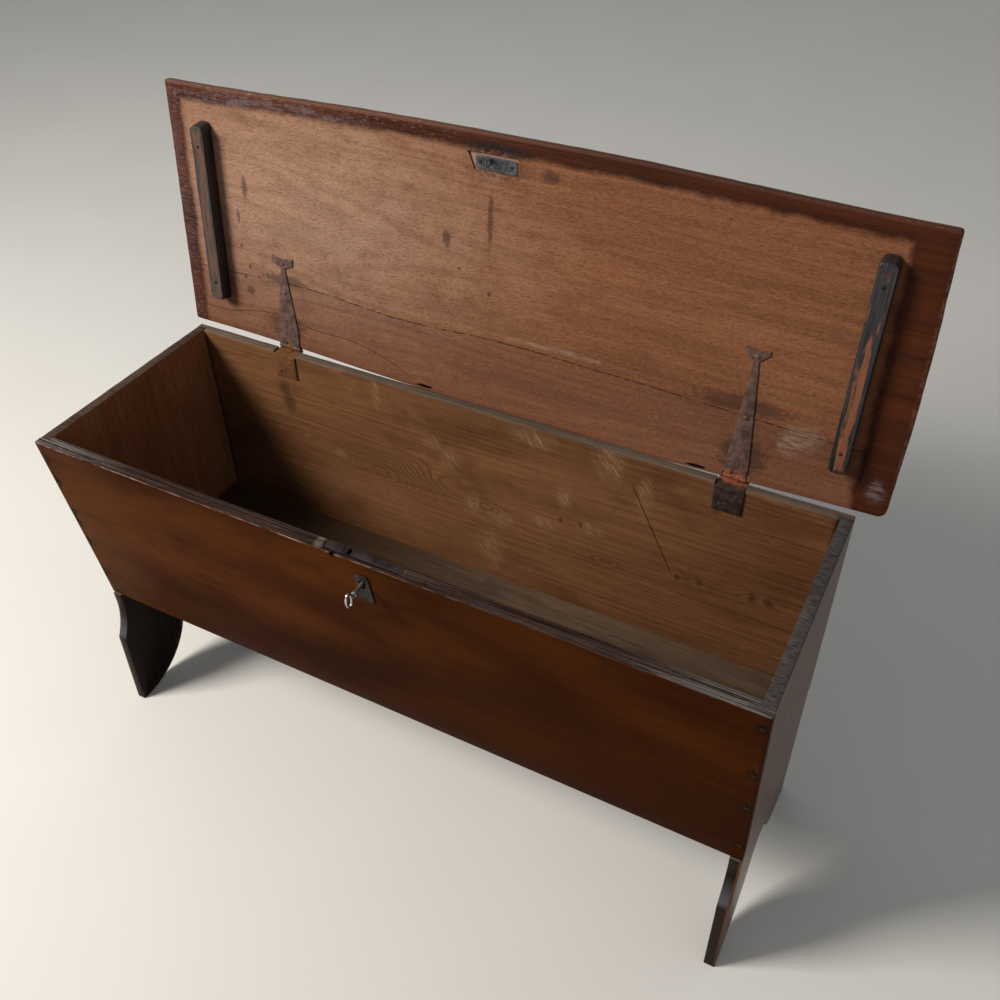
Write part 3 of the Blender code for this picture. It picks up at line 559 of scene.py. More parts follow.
CHIP_PLACE = (plate_low.x + 0.016, 0.001, -0.002)
# The chip is painted nearly black inside, as painted shade in its hollow.
chip_shade = spot_mark(spot, CHIP_PLACE, (0.0045, 0.0045, 0.0045), ragged, 0.5)
colour = tint(colour, chip_shade, 0.9, (0.008, 0.005, 0.003))
put(shader.inputs["Base Color"], colour)
shader.inputs["Specular IOR Level"].default_value = 0.006
sheen = scaled(patch, 0.20, 0.26)
put(shader.inputs["Roughness"], scaled(maths("MAXIMUM", rim, inside), 0.30, sheen))
height = scaled(fibre, 0.5, times(fade(pores, *PORE_EDGE), -0.6))
relief(shader, height, 0.0005, 0.35)
print("made", front_varnish.name)

# %% [markdown]
# Inside, the boards were never varnished. They are brown with age, with scuffs and knots. A knot swells the
# slow noise behind the ring lines, so that the lines close round it as contours close round a hill. The
# outside of the ends and their feet are varnished, and their tops have weathered with the saw's fine lines.
# The back also has pale slanting scrapes, dark stains and one slanting crack.

# %% Finish of the boards of the case
SCRAPE = (0.340, 0.195, 0.110)
SCRAPE_LEAN = 0.55
SHAKE_HEIGHT = 0.450
SHAKE_SLOPE = 0.5
SHAKE_PLACE = 0.2555
STAIN_AND_SHADE = (0.035, 0.016, 0.008)


def bare_oak(name, along, seed, dark, light, figure, rim_dark, rim_light, rim_lines, knots=(), scrapes=(),
             stains_and_shade=()):
    material, shader = new_finish(name)
    spot = object_space()
    x, y, z = split(spot)
    rings, fibre, pores, cloud = grain_marks(spot, along, seed, knots)
    scuff = streaks(spot, (14.0, 14.0, 24.0), seed + 8.0, 6.0, 0.7)
    tone = scaled(fibre, 0.55, times(cloud, 0.50))
    colour = blend(fade(tone, 0.28, 0.76), dark, light)
    blotch = streaks(spot, (7.0, 7.0, 11.0), seed + 4.0, 4.0, 0.6)
    colour = tint(colour, fade(blotch, 0.48, 0.70), 0.45, dark)
    line = times(fade(rings, 0.3, 1.0), figure)
    thin = times(fade(rings, 0.35, 1.0), fade(fibre, 0.25, 0.60))
    rough_rim = scaled(scuff, 1.6, -0.8)
    for centre, reach, _, aside in knots:
        seen = (centre[0] + aside * reach[0], centre[1], centre[2] + aside * reach[2])
        size = (1.0 - aside) * Vector(reach)
        swirl = spot_mark(spot, seen, tuple(size), rough_rim, 0.8)
        line = scaled(times(swirl, 0.42), thin, line)
    colour = blend(line, colour, tuple(0.7 * value for value in dark))
    colour = tint(colour, fade(pores, *PORE_EDGE), 0.5, (0.020, 0.011, 0.007))
    pale = tuple(1.6 * value + 0.03 for value in light)
    colour = tint(colour, fade(scuff, 0.60, 0.80), 0.45, pale)
    fine = streaks(spot, (240.0, 240.0, 110.0), seed + 6.0, 5.0, 0.72, 0.8)
    fine = scaled(fine, 3.0, -1.5)
    leaning = object_space(Matrix.Rotation(SCRAPE_LEAN, 4, "Y"))
    strokes = fade(streaks(leaning, (330.0, 330.0, 48.0), seed + 7.0, 4.0, 0.6, 0.4), 0.50, 0.64)
    worked = fade(streaks(leaning, (120.0, 120.0, 34.0), seed + 9.0, 6.0, 0.75, 0.8), 0.52, 0.72)
    colour = tint(colour, worked, 0.10, pale)
    for x_place, z_place, wide, tall in scrapes:
        scrape = spot_mark(spot, (x_place, back_low.y, z_place), (wide, 0.008, tall), rough_rim, 0.7)
        scrape = times(scrape, scaled(strokes, 0.60, 0.16))
        colour = blend(scrape, colour, SCRAPE)
    # A stain darkens the wood; on the bottom board the same marks are painted shade.
    for centre, reach, amount in stains_and_shade:
        stain = spot_mark(spot, centre, reach, times(fine, 0.4), 0.7)
        colour = tint(colour, stain, amount, STAIN_AND_SHADE)
    if knots:
        above = less(z, SHAKE_HEIGHT)
        slant = scaled(above, SHAKE_SLOPE, less(x, SHAKE_PLACE))
        slant = scaled(fine, 0.0012, slant)
        shake = times(fade(maths("ABSOLUTE", slant), 0.0020, 0.0006),
                      fade(maths("ABSOLUTE", above), 0.078, 0.060),
                      fade(y, back_low.y + 0.010, back_low.y + 0.006))
        colour = tint(colour, shake, 0.8, STAIN_AND_SHADE)
    off_middle = maths("ABSOLUTE", less(x, CASE_MIDDLE))
    half = (CASE_RIGHT - CASE_LEFT) / 2
    on_wall = fade(off_middle, half - 0.0032, half - 0.0018)
    outside = on_wall
    if along == 2:
        outside = maths("MAXIMUM", on_wall, fade(z, WALL_FOOT + 0.010, WALL_FOOT + 0.004))
    coat = blend(fade(tone, 0.30, 0.75), (0.070, 0.024, 0.0075), (0.185, 0.072, 0.0240))
    coat = tint(coat, fade(scuff, 0.50, 0.72), 0.45, (0.034, 0.012, 0.0045))
    # The outside darkens towards the floor. Below the walls, the feet's inner faces and edges are painted
    # very dark as painted shade, and their faces that look up carry a painted bluish highlight.
    coat = tint(coat, fade(z, 0.12, 0.0), 0.65, (0.018, 0.0085, 0.0045))
    foot_shade_and_highlight = blend(fade(tone, 0.30, 0.75), (0.004, 0.0024, 0.0018), (0.020, 0.0085, 0.0045))
    facing_up = split(tree.nodes.new("ShaderNodeNewGeometry").outputs["Normal"])[2]
    foot_shade_and_highlight = blend(fade(facing_up, 0.10, 0.55), foot_shade_and_highlight, (0.085, 0.088, 0.096))
    coat = blend(on_wall, foot_shade_and_highlight, coat)
    colour = blend(outside, colour, coat)
    rim = fade(z, *RIM_EDGE)
    lines = streaks(spot, rim_lines, seed + 5.0, 3.0, 0.6)
    rim_wood = blend(fade(scaled(scuff, 0.4, lines), 0.45, 0.95), rim_dark, rim_light)
    colour = blend(rim, colour, rim_wood)
    put(shader.inputs["Base Color"], colour)
    shader.inputs["Specular IOR Level"].default_value = 0.06
    rough = scaled(fibre, 0.2, 0.50)
    put(shader.inputs["Roughness"], scaled(outside, -0.34, rough))
    height = scaled(fibre, 0.6, times(pores, -0.5))
    relief(shader, height, 0.0006, 0.40)
    return material


print("bare oak is ready for the boards")

# %% [markdown]
# The back's knots, scrapes and stains each have a place, a size and a strength. The four boards then differ
# in the run of their grain, their seed and their shades.

# %% Oak of the four boards
back_knots = (((-0.200, 0.16, 0.395), (0.130, 1.0, 0.062), 0.42, 0.42),
              ((-0.009, 0.16, 0.391), (0.034, 1.0, 0.016), 0.12, 0.0),
              ((0.420, 0.16, 0.385), (0.040, 1.0, 0.015), 0.10, 0.0),
              ((0.190, 0.16, 0.362), (0.034, 1.0, 0.014), 0.10, 0.0),
              ((0.333, 0.16, 0.381), (0.026, 1.0, 0.012), 0.08, 0.0))
back_scrapes = ((-0.100, 0.481, 0.015, 0.013), (-0.071, 0.463, 0.017, 0.017), (0.188, 0.548, 0.020, 0.030),
                (0.121, 0.456, 0.011, 0.022), (0.162, 0.414, 0.019, 0.011), (0.089, 0.397, 0.019, 0.009),
                (-0.034, 0.389, 0.010, 0.018), (0.016, 0.376, 0.018, 0.009), (-0.004, 0.304, 0.020, 0.030),
                (-0.197, 0.539, 0.007, 0.024), (-0.278, 0.400, 0.010, 0.007), (0.072, 0.545, 0.030, 0.012),
                (0.241, 0.505, 0.010, 0.030))
back_spots = ((-0.372, 0.500, 0.010, 0.6), (-0.366, 0.472, 0.012, 0.6), (0.147, 0.415, 0.003, 0.7),
              (0.115, 0.412, 0.003, 0.7), (0.300, 0.375, 0.004, 0.7), (0.410, 0.386, 0.006, 0.6),
              (0.432, 0.384, 0.006, 0.6), (0.333, 0.381, 0.006, 0.4))
back_stains = [((x, back_low.y, z), (size, 0.008, 1.3 * size), amount) for x, z, size, amount in back_spots]
back_oak = bare_oak("back_oak", 0, 11.0, (0.076, 0.029, 0.0110), (0.232, 0.104, 0.046), 0.09,
                    (0.060, 0.042, 0.030), (0.155, 0.114, 0.086), (5.0, 420.0, 60.0), back_knots,
                    back_scrapes, back_stains)
# The left end's oak is lighter than the right's: painted light on its inner face, which the lamp leaves in
# shade.
lightened_left_oak = bare_oak("left_end_oak", 2, 17.0, (0.190, 0.075, 0.032), (0.330, 0.140, 0.062), 0.10,
                    (0.026, 0.015, 0.010), (0.105, 0.066, 0.046), (40.0, 620.0, 40.0))
right_oak = bare_oak("right_end_oak", 2, 19.0, (0.090, 0.035, 0.015), (0.230, 0.102, 0.046), 0.15,
                     (0.028, 0.023, 0.022), (0.096, 0.084, 0.079), (90.0, 520.0, 90.0))
# Two dark clouds at the left of the bottom board are painted shade, where the front and the left end shade
# the floor of the case.
painted_floor_shade = [((x, -0.02, 0.247), (0.30, 0.30, 1.0), 0.62) for x in (-0.50, -0.38)]
bottom_oak = bare_oak("bottom_oak", 0, 23.0, (0.060, 0.036, 0.021), (0.150, 0.100, 0.064), 0.20,
                      (0.08, 0.05, 0.03), (0.20, 0.14, 0.10), (5.0, 200.0, 60.0), (), (), painted_floor_shade)
print("made", back_oak.name, lightened_left_oak.name, right_oak.name, bottom_oak.name)

# %% [markdown]
# The lid shows its underside, and its marks are placed from the case's middle and the lid's rear edge. A
# split's course is a curve that gives its height for each place along the lid. The front corners are drawn
# back and two places in the rear edge are broken out, here as painted shade in the finish and later in the
# shape.

# %% Places on the lid
LID_CORNERS = ((lid_low.x, Vector((0.003, 0.009, 0.0))), (lid_high.x, Vector((-0.007, 0.010, 0.0))))
CORNER_REACH = 0.46
BROKEN_PLACES = (-0.109, 0.311)


def lid_spot(along, up):
    """A place on the lid's underside, from the case's middle and from the lid's rear edge."""
    return (CASE_MIDDLE + along, lid_high.y - up, lid_low.z)


def wander(value, start, end, heights, top):
    """A curve through heights spaced evenly between start and end."""
    node = tree.nodes.new("ShaderNodeFloatCurve")
    share = tree.nodes.new("ShaderNodeMapRange")
    put(share.inputs["Value"], value)
    share.inputs["From Min"].default_value = start
    share.inputs["From Max"].default_value = end
    curve = node.mapping.curves[0]
    curve.points[0].location = (0.0, heights[0] / top)
    curve.points[1].location = (1.0, heights[-1] / top)
    for i in range(1, len(heights) - 1):
        curve.points.new(i / (len(heights) - 1), heights[i] / top)
    node.mapping.update()
    put(node.inputs["Value"], share.outputs["Result"])
    return times(node.outputs["Value"], top)


print("lid corners", len(LID_CORNERS), "and broken places", len(BROKEN_PLACES))

# %% [markdown]
# The middle of the underside is raw oak, pinkish brown with short dark flecks along the grain. A point is
# taken back to where it lies with the lid shut and its corners straight, so that the flecks run with the
# board.

# %% Raw oak of the lid
RAW_DARK = (0.148, 0.052, 0.022)
RAW_LIGHT = (0.288, 0.118, 0.056)
lid_oak, shader = new_finish("lid_oak")
spot = object_space(shut_lid)
for corner, push in LID_CORNERS:
    off_corner = vectors("DISTANCE", spot, (corner, lid_low.y, lid_low.z))
    spot = vectors("MULTIPLY_ADD", fade(off_corner, CORNER_REACH, 0.0), tuple(-push), spot)
x, y, z = split(spot)
up = less(lid_high.y, y)
rings, fibre, pores, cloud = grain_marks(spot, 0, 31.0)
flecks = streaks(spot, (170.0, 1500.0, 1500.0), 3.0, 1.0, 0.5)
fine = scaled(streaks(spot, (150.0, 150.0, 150.0), 19.0, 4.0, 0.7), 2.4, -1.2)
rag = streaks(spot, (26.0, 26.0, 26.0), 13.0, 5.0, 0.65)
ragged = scaled(rag, 1.6, -0.8)
broad = streaks(spot, (1.6, 45.0, 45.0), 37.0, 4.0, 0.6)
tone = scaled(fibre, 0.40, scaled(cloud, 0.35, times(broad, 0.35)))
raw = blend(fade(tone, 0.30, 0.75), RAW_DARK, RAW_LIGHT)
# A broad pale patch on the left of the underside is a painted sheen, where the satin surface catches the
# lamp.
lamp_sheen = spot_mark(spot, lid_spot(-0.33, 0.235), (0.27, 0.15, 1.0), ragged, 0.9)
raw = tint(raw, lamp_sheen, 0.65, (0.430, 0.276, 0.196))
raw = tint(raw, fade(rings, 0.3, 1.0), 0.20, (0.105, 0.036, 0.016))
raw = tint(raw, fade(rag, 0.50, 0.70), 0.22, (0.120, 0.055, 0.034))
dark_flecks = fade(flecks, 0.57, 0.68)
raw = tint(raw, dark_flecks, 0.60, (0.075, 0.028, 0.014))
raw = tint(raw, fade(flecks, 0.42, 0.32), 0.22, (0.400, 0.225, 0.140))
raw = tint(raw, fade(pores, *PORE_EDGE), 0.45, (0.060, 0.026, 0.015))
print("raw oak with flecks for", lid_oak.name)

# %% [markdown]
# A long split wanders along the board below its middle, and the board is darker and more purple on the hinge
# side of it. Smudges are dark and fillings are pale, and each one lies where its list says.

# %% Split, smudges and fillings of the lid
split_at = wander(x, CASE_MIDDLE - 0.47, CASE_MIDDLE + 0.50,
                  (0.099, 0.102, 0.092, 0.098, 0.094, 0.089, 0.084), 0.12)
past_split = less(up, scaled(ragged, 0.0016, split_at))
lower = fade(past_split, 0.003, -0.003)
raw = tint(raw, lower, 0.26, (0.118, 0.056, 0.044))
off_split = maths("ABSOLUTE", past_split)
crack = times(fade(off_split, 0.0015, 0.0005), fade(fine, -0.35, 0.15))
crack_end = wander(x, CASE_MIDDLE - 0.46, CASE_MIDDLE - 0.14, (0.030, 0.045, 0.036, 0.033, 0.007), 0.12)
off_second = maths("ABSOLUTE", less(up, crack_end))
second = times(fade(off_second, 0.0012, 0.0005), fade(x, CASE_MIDDLE - 0.13, CASE_MIDDLE - 0.15))
crack = maths("MAXIMUM", crack, times(second, 0.7))
raw = tint(raw, crack, 0.85, (0.030, 0.015, 0.011))
smudges = (((0.360, 0.104), (0.064, 0.011)), ((-0.350, 0.107), (0.034, 0.009)),
           ((-0.005, 0.270), (0.0035, 0.034)), ((-0.070, 0.229), (0.006, 0.012)),
           ((-0.410, 0.240), (0.0050, 0.015)), ((0.077, 0.338), (0.012, 0.008)),
           ((-0.427, 0.195), (0.0022, 0.010)), ((-0.425, 0.097), (0.003, 0.003)),
           ((-0.417, 0.077), (0.007, 0.007)), ((-0.426, 0.148), (0.003, 0.003)),
           ((-0.414, 0.116), (0.003, 0.003)), ((-0.051, 0.191), (0.003, 0.003)),
           ((-0.004, 0.165), (0.003, 0.003)), ((0.371, 0.030), (0.030, 0.026)),
           ((-0.352, 0.030), (0.030, 0.022)))
for place, reach in smudges:
    smudge = spot_mark(spot, lid_spot(*place), (*reach, 1.0), fine, 0.40)
    raw = tint(raw, smudge, 0.60, (0.036, 0.021, 0.018))
broken = streaks(spot, (40.0, 220.0, 220.0), 43.0, 5.0, 0.7)
fillings = (((0.440, 0.080), (0.021, 0.017)), ((0.425, 0.062), (0.013, 0.012)),
            ((0.105, 0.108), (0.062, 0.004)), ((-0.425, 0.104), (0.012, 0.0018)),
            ((-0.385, 0.102), (0.024, 0.0018)), ((-0.463, 0.315), (0.012, 0.006)))
for place, reach in fillings:
    filled = spot_mark(spot, lid_spot(*place), (*reach, 1.0), fine, 0.60)
    filled = times(filled, fade(broken, 0.36, 0.58))
    raw = tint(raw, filled, 0.60, (0.300, 0.205, 0.150))
print(len(smudges), "smudges and", len(fillings), "fillings")

# %% [markdown]
# Round the three free edges runs a ragged border of the outside's varnish, where the lid oversails the case.
# It is crazed to the left, hazy with bloom and a painted sheen in a few places, and its inner rim is a darker
# run.

# %% Varnished border of the lid
VARNISH_DARK = (0.013, 0.0040, 0.0020)
VARNISH_LIGHT = (0.089, 0.0235, 0.0088)
varnish = blend(fade(tone, 0.30, 0.72), VARNISH_DARK, VARNISH_LIGHT)
crazing = streaks(spot, (110.0, 620.0, 620.0), 7.0, 3.0, 0.7)
crazed = times(fade(crazing, 0.56, 0.70), fade(x, CASE_MIDDLE + 0.10, CASE_MIDDLE - 0.25),
               fade(z, lid_low.z + 0.010, lid_low.z + 0.002))
varnish = tint(varnish, crazed, 0.75, (0.29, 0.20, 0.180))
varnish = tint(varnish, fade(pores, 0.58, 0.74), 0.4, (0.014, 0.007, 0.005))
# Blooms are pale hazes on the varnish; the large one at the top left is also a painted sheen.
blooms_and_sheen = (((-0.36, 0.360), (0.13, 0.010), 0.65), ((-0.525, 0.24), (0.016, 0.13), 0.22),
          ((0.541, 0.034), (0.010, 0.014), 0.80))
for place, reach, amount in blooms_and_sheen:
    bloom_and_sheen = spot_mark(spot, lid_spot(*place), (*reach, 1.0), fine, 0.6)
    bloom_and_sheen = times(bloom_and_sheen, fade(broken, 0.36, 0.62))
    varnish = tint(varnish, bloom_and_sheen, amount, (0.185, 0.130, 0.138))
loose = scaled(rag, 0.020, scaled(fine, 0.003, -0.010))
from_left = less(x, lid_low.x + 0.026)
from_right = less(lid_high.x - 0.045, x)
from_front = less(y, lid_low.y + 0.022)
inward = maths("MINIMUM", maths("MINIMUM", from_left, from_right), from_front)
inward = maths("ADD", inward, loose)
border = fade(inward, 0.006, -0.005)
run = times(fade(inward, -0.012, -0.002), fade(fine, -0.3, 0.3))
varnish = tint(varnish, run, 0.65, (0.017, 0.008, 0.008))
print(len(blooms_and_sheen), "blooms on the border")

# %% [markdown]
# The lock's plate lies in a bed of paler wood with old dirt round it. The nosing carries a painted highlight,
# the front edge face is rubbed and painted lighter, the other edges are rubbed, and the broken places are
# painted dark inside as shade.

# %% Plate's bed, rubbed edges and painted light and shade of the lid
link_low, link_high = box_in("lid_staple", shut_lid)
link_middle = (link_low + link_high) / 2
bed = spot_mark(spot, tuple(link_middle), (0.042, 0.016, 1.0), ragged, 0.1)
round_bed = spot_mark(spot, tuple(link_middle), (0.052, 0.023, 1.0), fine, 0.4)
varnish = tint(varnish, round_bed, 0.7, (0.026, 0.016, 0.017))
grubby = times(round_bed, fade(fine, -0.25, 0.25))
raw = tint(raw, grubby, 0.65, (0.045, 0.027, 0.022))
under = fade(z, lid_low.z + 0.0014, lid_low.z + 0.0006)
shown = times(under, less(1.0, border))
sunk = times(bed, less(1.0, under), fade(z, lid_low.z + 0.0050, lid_low.z + 0.0035))
colour = blend(shown, varnish, raw)
gunk = spot_mark(spot, (link_middle.x, link_middle.y - 0.019, lid_low.z), (0.046, 0.009, 1.0), fine, 0.5)
gunk = times(gunk, under, fade(fine, -0.30, 0.10))
colour = tint(colour, gunk, 0.85, (0.013, 0.010, 0.011))
colour = blend(sunk, colour, (0.330, 0.190, 0.135))
# The broken places are painted nearly black inside, as painted shade in their hollows.
for place in BROKEN_PLACES:
    hole = (CASE_MIDDLE + place, lid_high.y + 0.0046, lid_low.z + 0.0050)
    hollow = spot_mark(spot, hole, (0.019, 0.0042, 0.0062), 0.0, 0.15)
    colour = blend(hollow, colour, (0.006, 0.004, 0.003))
gap = edge_gap(spot, lid_low, lid_high)
chafe = streaks(spot, (160.0, 160.0, 400.0), 5.0, 5.0, 0.75)
rubbed = times(fade(gap, 0.0020, 0.0006), fade(chafe, 0.42, 0.60), fade(up, 0.02, 0.05))
colour = tint(colour, rubbed, 0.12, (0.40, 0.26, 0.20))
# The lid's front edge face is paler, more so to the left: partly rubbed wear and partly painted light from
# the lamp's side.
on_front = fade(y, lid_low.y + 0.0050, lid_low.y + 0.0030)
worn_and_lit_front = times(on_front, scaled(fade(x, 0.30, -0.15), 0.20, 0.08))
colour = blend(worn_and_lit_front, colour, (0.240, 0.120, 0.080))
# A thin pale line along the middle of the nosing's rounded edge is a painted highlight, strongest to the
# left, where the lamp stands.
off_nosing = maths("ABSOLUTE", less(z, lid_low.z + 0.0122))
highlight_breaks = streaks(spot, (28.0, 160.0, 160.0), 15.0, 5.0, 0.75)
nosing_highlight = times(fade(off_nosing, 0.0055, 0.0020), on_front, fade(highlight_breaks, 0.34, 0.54),
               scaled(fade(x, 0.22, -0.10), 0.75, 0.25))
colour = tint(colour, nosing_highlight, 0.75, (0.42, 0.28, 0.22))
put(shader.inputs["Base Color"], colour)
shader.inputs["Specular IOR Level"].default_value = 0.08
rough = scaled(fibre, 0.2, 0.32)
put(shader.inputs["Roughness"], scaled(shown, 0.26, rough))
height = scaled(fibre, 0.6, scaled(dark_flecks, -0.5, times(crack, -2.0)))
relief(shader, height, 0.0006, 0.45)
print("made", lid_oak.name)

# %% [markdown]
# The battens were painted blue-black. The left one's paint has worn off its outer side, the right one's
# along the middle of its face, more towards the hinges, and orange wood shows in long patches. Iron is dark
# and rough with rust in its hollows, most of all round the right hinge's eyes; the key and the lid's plate
# are worn steel.


# %% Finishes of the battens and the metal
def worn_paint(name, side, seed, wear, wear_from, band, dark_wood, light_wood):
    low, high = box_in(f"{side}_batten", shut_lid)
    material, shader = new_finish(name)
    spot = object_space(shut_lid)
    x, y, _ = split(spot)
    fibre = streaks(spot, (420.0, 11.0, 420.0), seed, 5.0, 0.65)
    patch = streaks(spot, (150.0, 24.0, 150.0), seed + 4.0, 5.0, 0.70)
    wood = blend(fibre, dark_wood, light_wood)
    paint = blend(fade(fibre, 0.35, 0.75), (0.006, 0.006, 0.008), (0.042, 0.038, 0.042))
    off_middle = maths("ABSOLUTE", less(x, (low.x + high.x) / 2))
    along = fade(y, wear_from, wear_from + 0.10)
    on_face = times(fade(off_middle, *band), along)
    share = scaled(fibre, 0.25, scaled(on_face, wear, patch))
    from_end = maths("MINIMUM", less(y, low.y), less(high.y, y))
    worn = times(fade(share, 0.68, 0.84), fade(from_end, 0.004, 0.012))
    put(shader.inputs["Base Color"], blend(worn, paint, wood))
    put(shader.inputs["Roughness"], scaled(worn, 0.2, 0.40))
    relief(shader, scaled(worn, -0.6, fibre), 0.0007, 0.5)
    return material


def old_metal(name, seed, dark, light, rust, rust_from, metallic, rough, rusty_end=False, gloss=0.5):
    material, shader = new_finish(name)
    spot = object_space()
    x = split(spot)[0]
    cloud = streaks(spot, (90.0, 90.0, 90.0), seed, 5.0, 0.65)
    pit = streaks(spot, (520.0, 520.0, 520.0), seed + 2.0, 3.0, 0.6)
    colour = blend(fade(cloud, 0.30, 0.70), dark, light)
    share = scaled(pit, 0.4, cloud)
    if rusty_end:
        off_line = vectors("MULTIPLY", vectors("SUBTRACT", spot, tuple(LID_AXIS)), (0.0, 1.0, 1.0))
        near_line = fade(vectors("LENGTH", off_line), 0.016, 0.007)
        wet = times(near_line, fade(x, 0.0, 0.2))
        share = scaled(wet, 0.32, share)
    rusty = fade(share, rust_from, rust_from + 0.22)
    put(shader.inputs["Base Color"], blend(rusty, colour, rust))
    put(shader.inputs["Metallic"], scaled(rusty, -metallic, metallic))
    put(shader.inputs["Roughness"], scaled(pit, 0.3, rough))
    shader.inputs["Specular IOR Level"].default_value = gloss
    relief(shader, scaled(pit, 0.5, cloud), 0.0006, 0.5)
    return material


print("paint and metal are ready to be mixed")

# %% [markdown]
# Each batten and each kind of fitting has its own shades, seed and wear.

# %% Paint and metals
left_paint = worn_paint("left_batten_paint", "left", 41.0, 0.18, lid_low.y - 0.1, (0.0095, 0.0060),
                        (0.030, 0.014, 0.008), (0.150, 0.062, 0.030))
right_paint = worn_paint("right_batten_paint", "right", 47.0, 0.25, lid_low.y + 0.10, (0.0085, 0.0020),
                         (0.085, 0.028, 0.012), (0.320, 0.108, 0.044))
hinge_iron = old_metal("hinge_iron", 51.0, (0.066, 0.037, 0.029), (0.170, 0.099, 0.076),
                       (0.270, 0.080, 0.034), 0.80, 0.15, 0.45, True, 0.25)
leaf_iron = old_metal("leaf_iron", 52.0, (0.020, 0.013, 0.011), (0.075, 0.046, 0.036),
                      (0.250, 0.074, 0.032), 0.80, 0.15, 0.45, True, 0.25)
stained_iron = old_metal("stained_iron", 53.0, (0.095, 0.039, 0.016), (0.195, 0.084, 0.035),
                         (0.050, 0.022, 0.011), 0.76, 0.0, 0.65, False, 0.1)
lock_iron = old_metal("lock_iron", 57.0, (0.016, 0.011, 0.011), (0.042, 0.030, 0.029),
                      (0.045, 0.022, 0.016), 0.76, 0.20, 0.40, False, 0.15)
black_iron = old_metal("black_iron", 59.0, (0.006, 0.005, 0.0045), (0.024, 0.020, 0.017),
                       (0.030, 0.017, 0.012), 0.78, 0.15, 0.34, False, 0.12)
nail_iron = old_metal("nail_iron", 61.0, (0.010, 0.008, 0.007), (0.035, 0.026, 0.022),
                      (0.050, 0.022, 0.012), 0.74, 0.1, 0.50, False, 0.10)
key_steel = old_metal("key_steel", 67.0, (0.24, 0.23, 0.23), (0.50, 0.49, 0.49), (0.16, 0.09, 0.07), 0.78,
                      0.85, 0.14)
plate_steel = old_metal("plate_steel", 71.0, (0.024, 0.029, 0.032), (0.110, 0.121, 0.125),
                        (0.035, 0.026, 0.022), 0.78, 0.50, 0.22)
print("made battens' paint, iron and steel")

# %% [markdown]
# The boards' joints are already cut in the frame: laps, housings, the lock's bed and the nail holes. So
# each board starts as a copy of its frame mesh. The copy is loose triangles; merging its doubles and
# dissolving its flat edges gives back the plain faces that a bevel needs.

# %% A board's blank
FLAT_ANGLE = math.radians(0.5)
SAME_SPOT = 0.00001


def board_blank(node, name):
    pick_only(nodes[node])
    bpy.ops.object.duplicate()
    board = bpy.context.active_object
    board.name = name
    del board["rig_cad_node"]
    bpy.ops.object.mode_set(mode="EDIT")
    bpy.ops.mesh.select_all(action="SELECT")
    bpy.ops.mesh.remove_doubles(threshold=SAME_SPOT)
    bpy.ops.mesh.dissolve_limited(angle_limit=FLAT_ANGLE)
    bpy.ops.object.mode_set(mode="OBJECT")
    return board


def steps_between(low, high, step):
    count = int((high - low) / step)
    return [low + (high - low) * (i + 1) / (count + 1) for i in range(count)]


def near(value, target, room=0.00005):
    return abs(value - target) < room


print("boards are copied from", len(nodes), "frame nodes")

# %% [markdown]
# The front board's top corner is what the eye meets first. It is sawn into short stations so that the worn
# corner can wander, then rounded, then weathered by a clouds pattern that acts only on the corner.

# %% Front board
front_board = board_blank("front_board", "front_plank")
saw(front_board, 2, [RIM - 0.004, RIM - 0.012] + steps_between(WALL_FOOT, RIM - 0.012, 0.045))
saw(front_board, 0, steps_between(CASE_LEFT, CASE_RIGHT, 0.009))
face_slope = math.tan(LEAN)


def on_front_face(spot):
    return near(spot.y, FRONT_Y + (RIM - spot.z) * face_slope)


soften(front_board, 0.0015, 3, lambda spot: near(spot.z, RIM) and spot.y < FRONT_Y + 0.001)
soften(front_board, 0.0012, 2, lambda spot: near(spot.z, RIM) and spot.y > FRONT_Y + 0.0195)
soften(front_board, 0.0015, 2, lambda spot: near(spot.z, WALL_FOOT) and on_front_face(spot))
soften(front_board, 0.0015, 2, lambda spot: on_front_face(spot)
       and (near(spot.x, CASE_LEFT) or near(spot.x, CASE_RIGHT)))
weather(front_board, 0.020, 0.0022, lambda spot: spot.z > RIM - 0.0030 and spot.y < FRONT_Y + 0.0025, 0.60)
chip = blank("chip", (-0.0025, -0.0025, -0.0025), (0.0025, 0.0025, 0.0025))
set_in(chip, Matrix.Translation(front_plane @ Vector(CHIP_PLACE))
       @ Matrix.Rotation(0.7, 4, "X") @ Matrix.Rotation(0.5, 4, "Z"))
cut_away(front_board, chip)
hand_over(front_board, "case", "varnished_oak", front_varnish, "front_board")

# %% [markdown]
# The back board, the end boards and the bottom are plainer. Their corners are softened where they show: the
# rim, the feet's outline and the lower edges.

# %% Back, end and bottom boards
back_board = board_blank("back_board", "back_plank")
saw(back_board, 2, [RIM - 0.004, RIM - 0.012] + steps_between(WALL_FOOT, RIM - 0.012, 0.06))
saw(back_board, 0, steps_between(CASE_LEFT, CASE_RIGHT, 0.012))
soften(back_board, 0.0012, 2, lambda spot: spot.z > RIM - 0.0005
       and (near(spot.y, back_low.y) or near(spot.y, back_high.y)))
soften(back_board, 0.0012, 2, lambda spot: near(spot.z, WALL_FOOT) and near(spot.y, back_high.y))
weather(back_board, 0.025, 0.0014, lambda spot: spot.z > RIM - 0.003, 0.60)
hand_over(back_board, "case", "aged_oak", back_oak, "back_board")

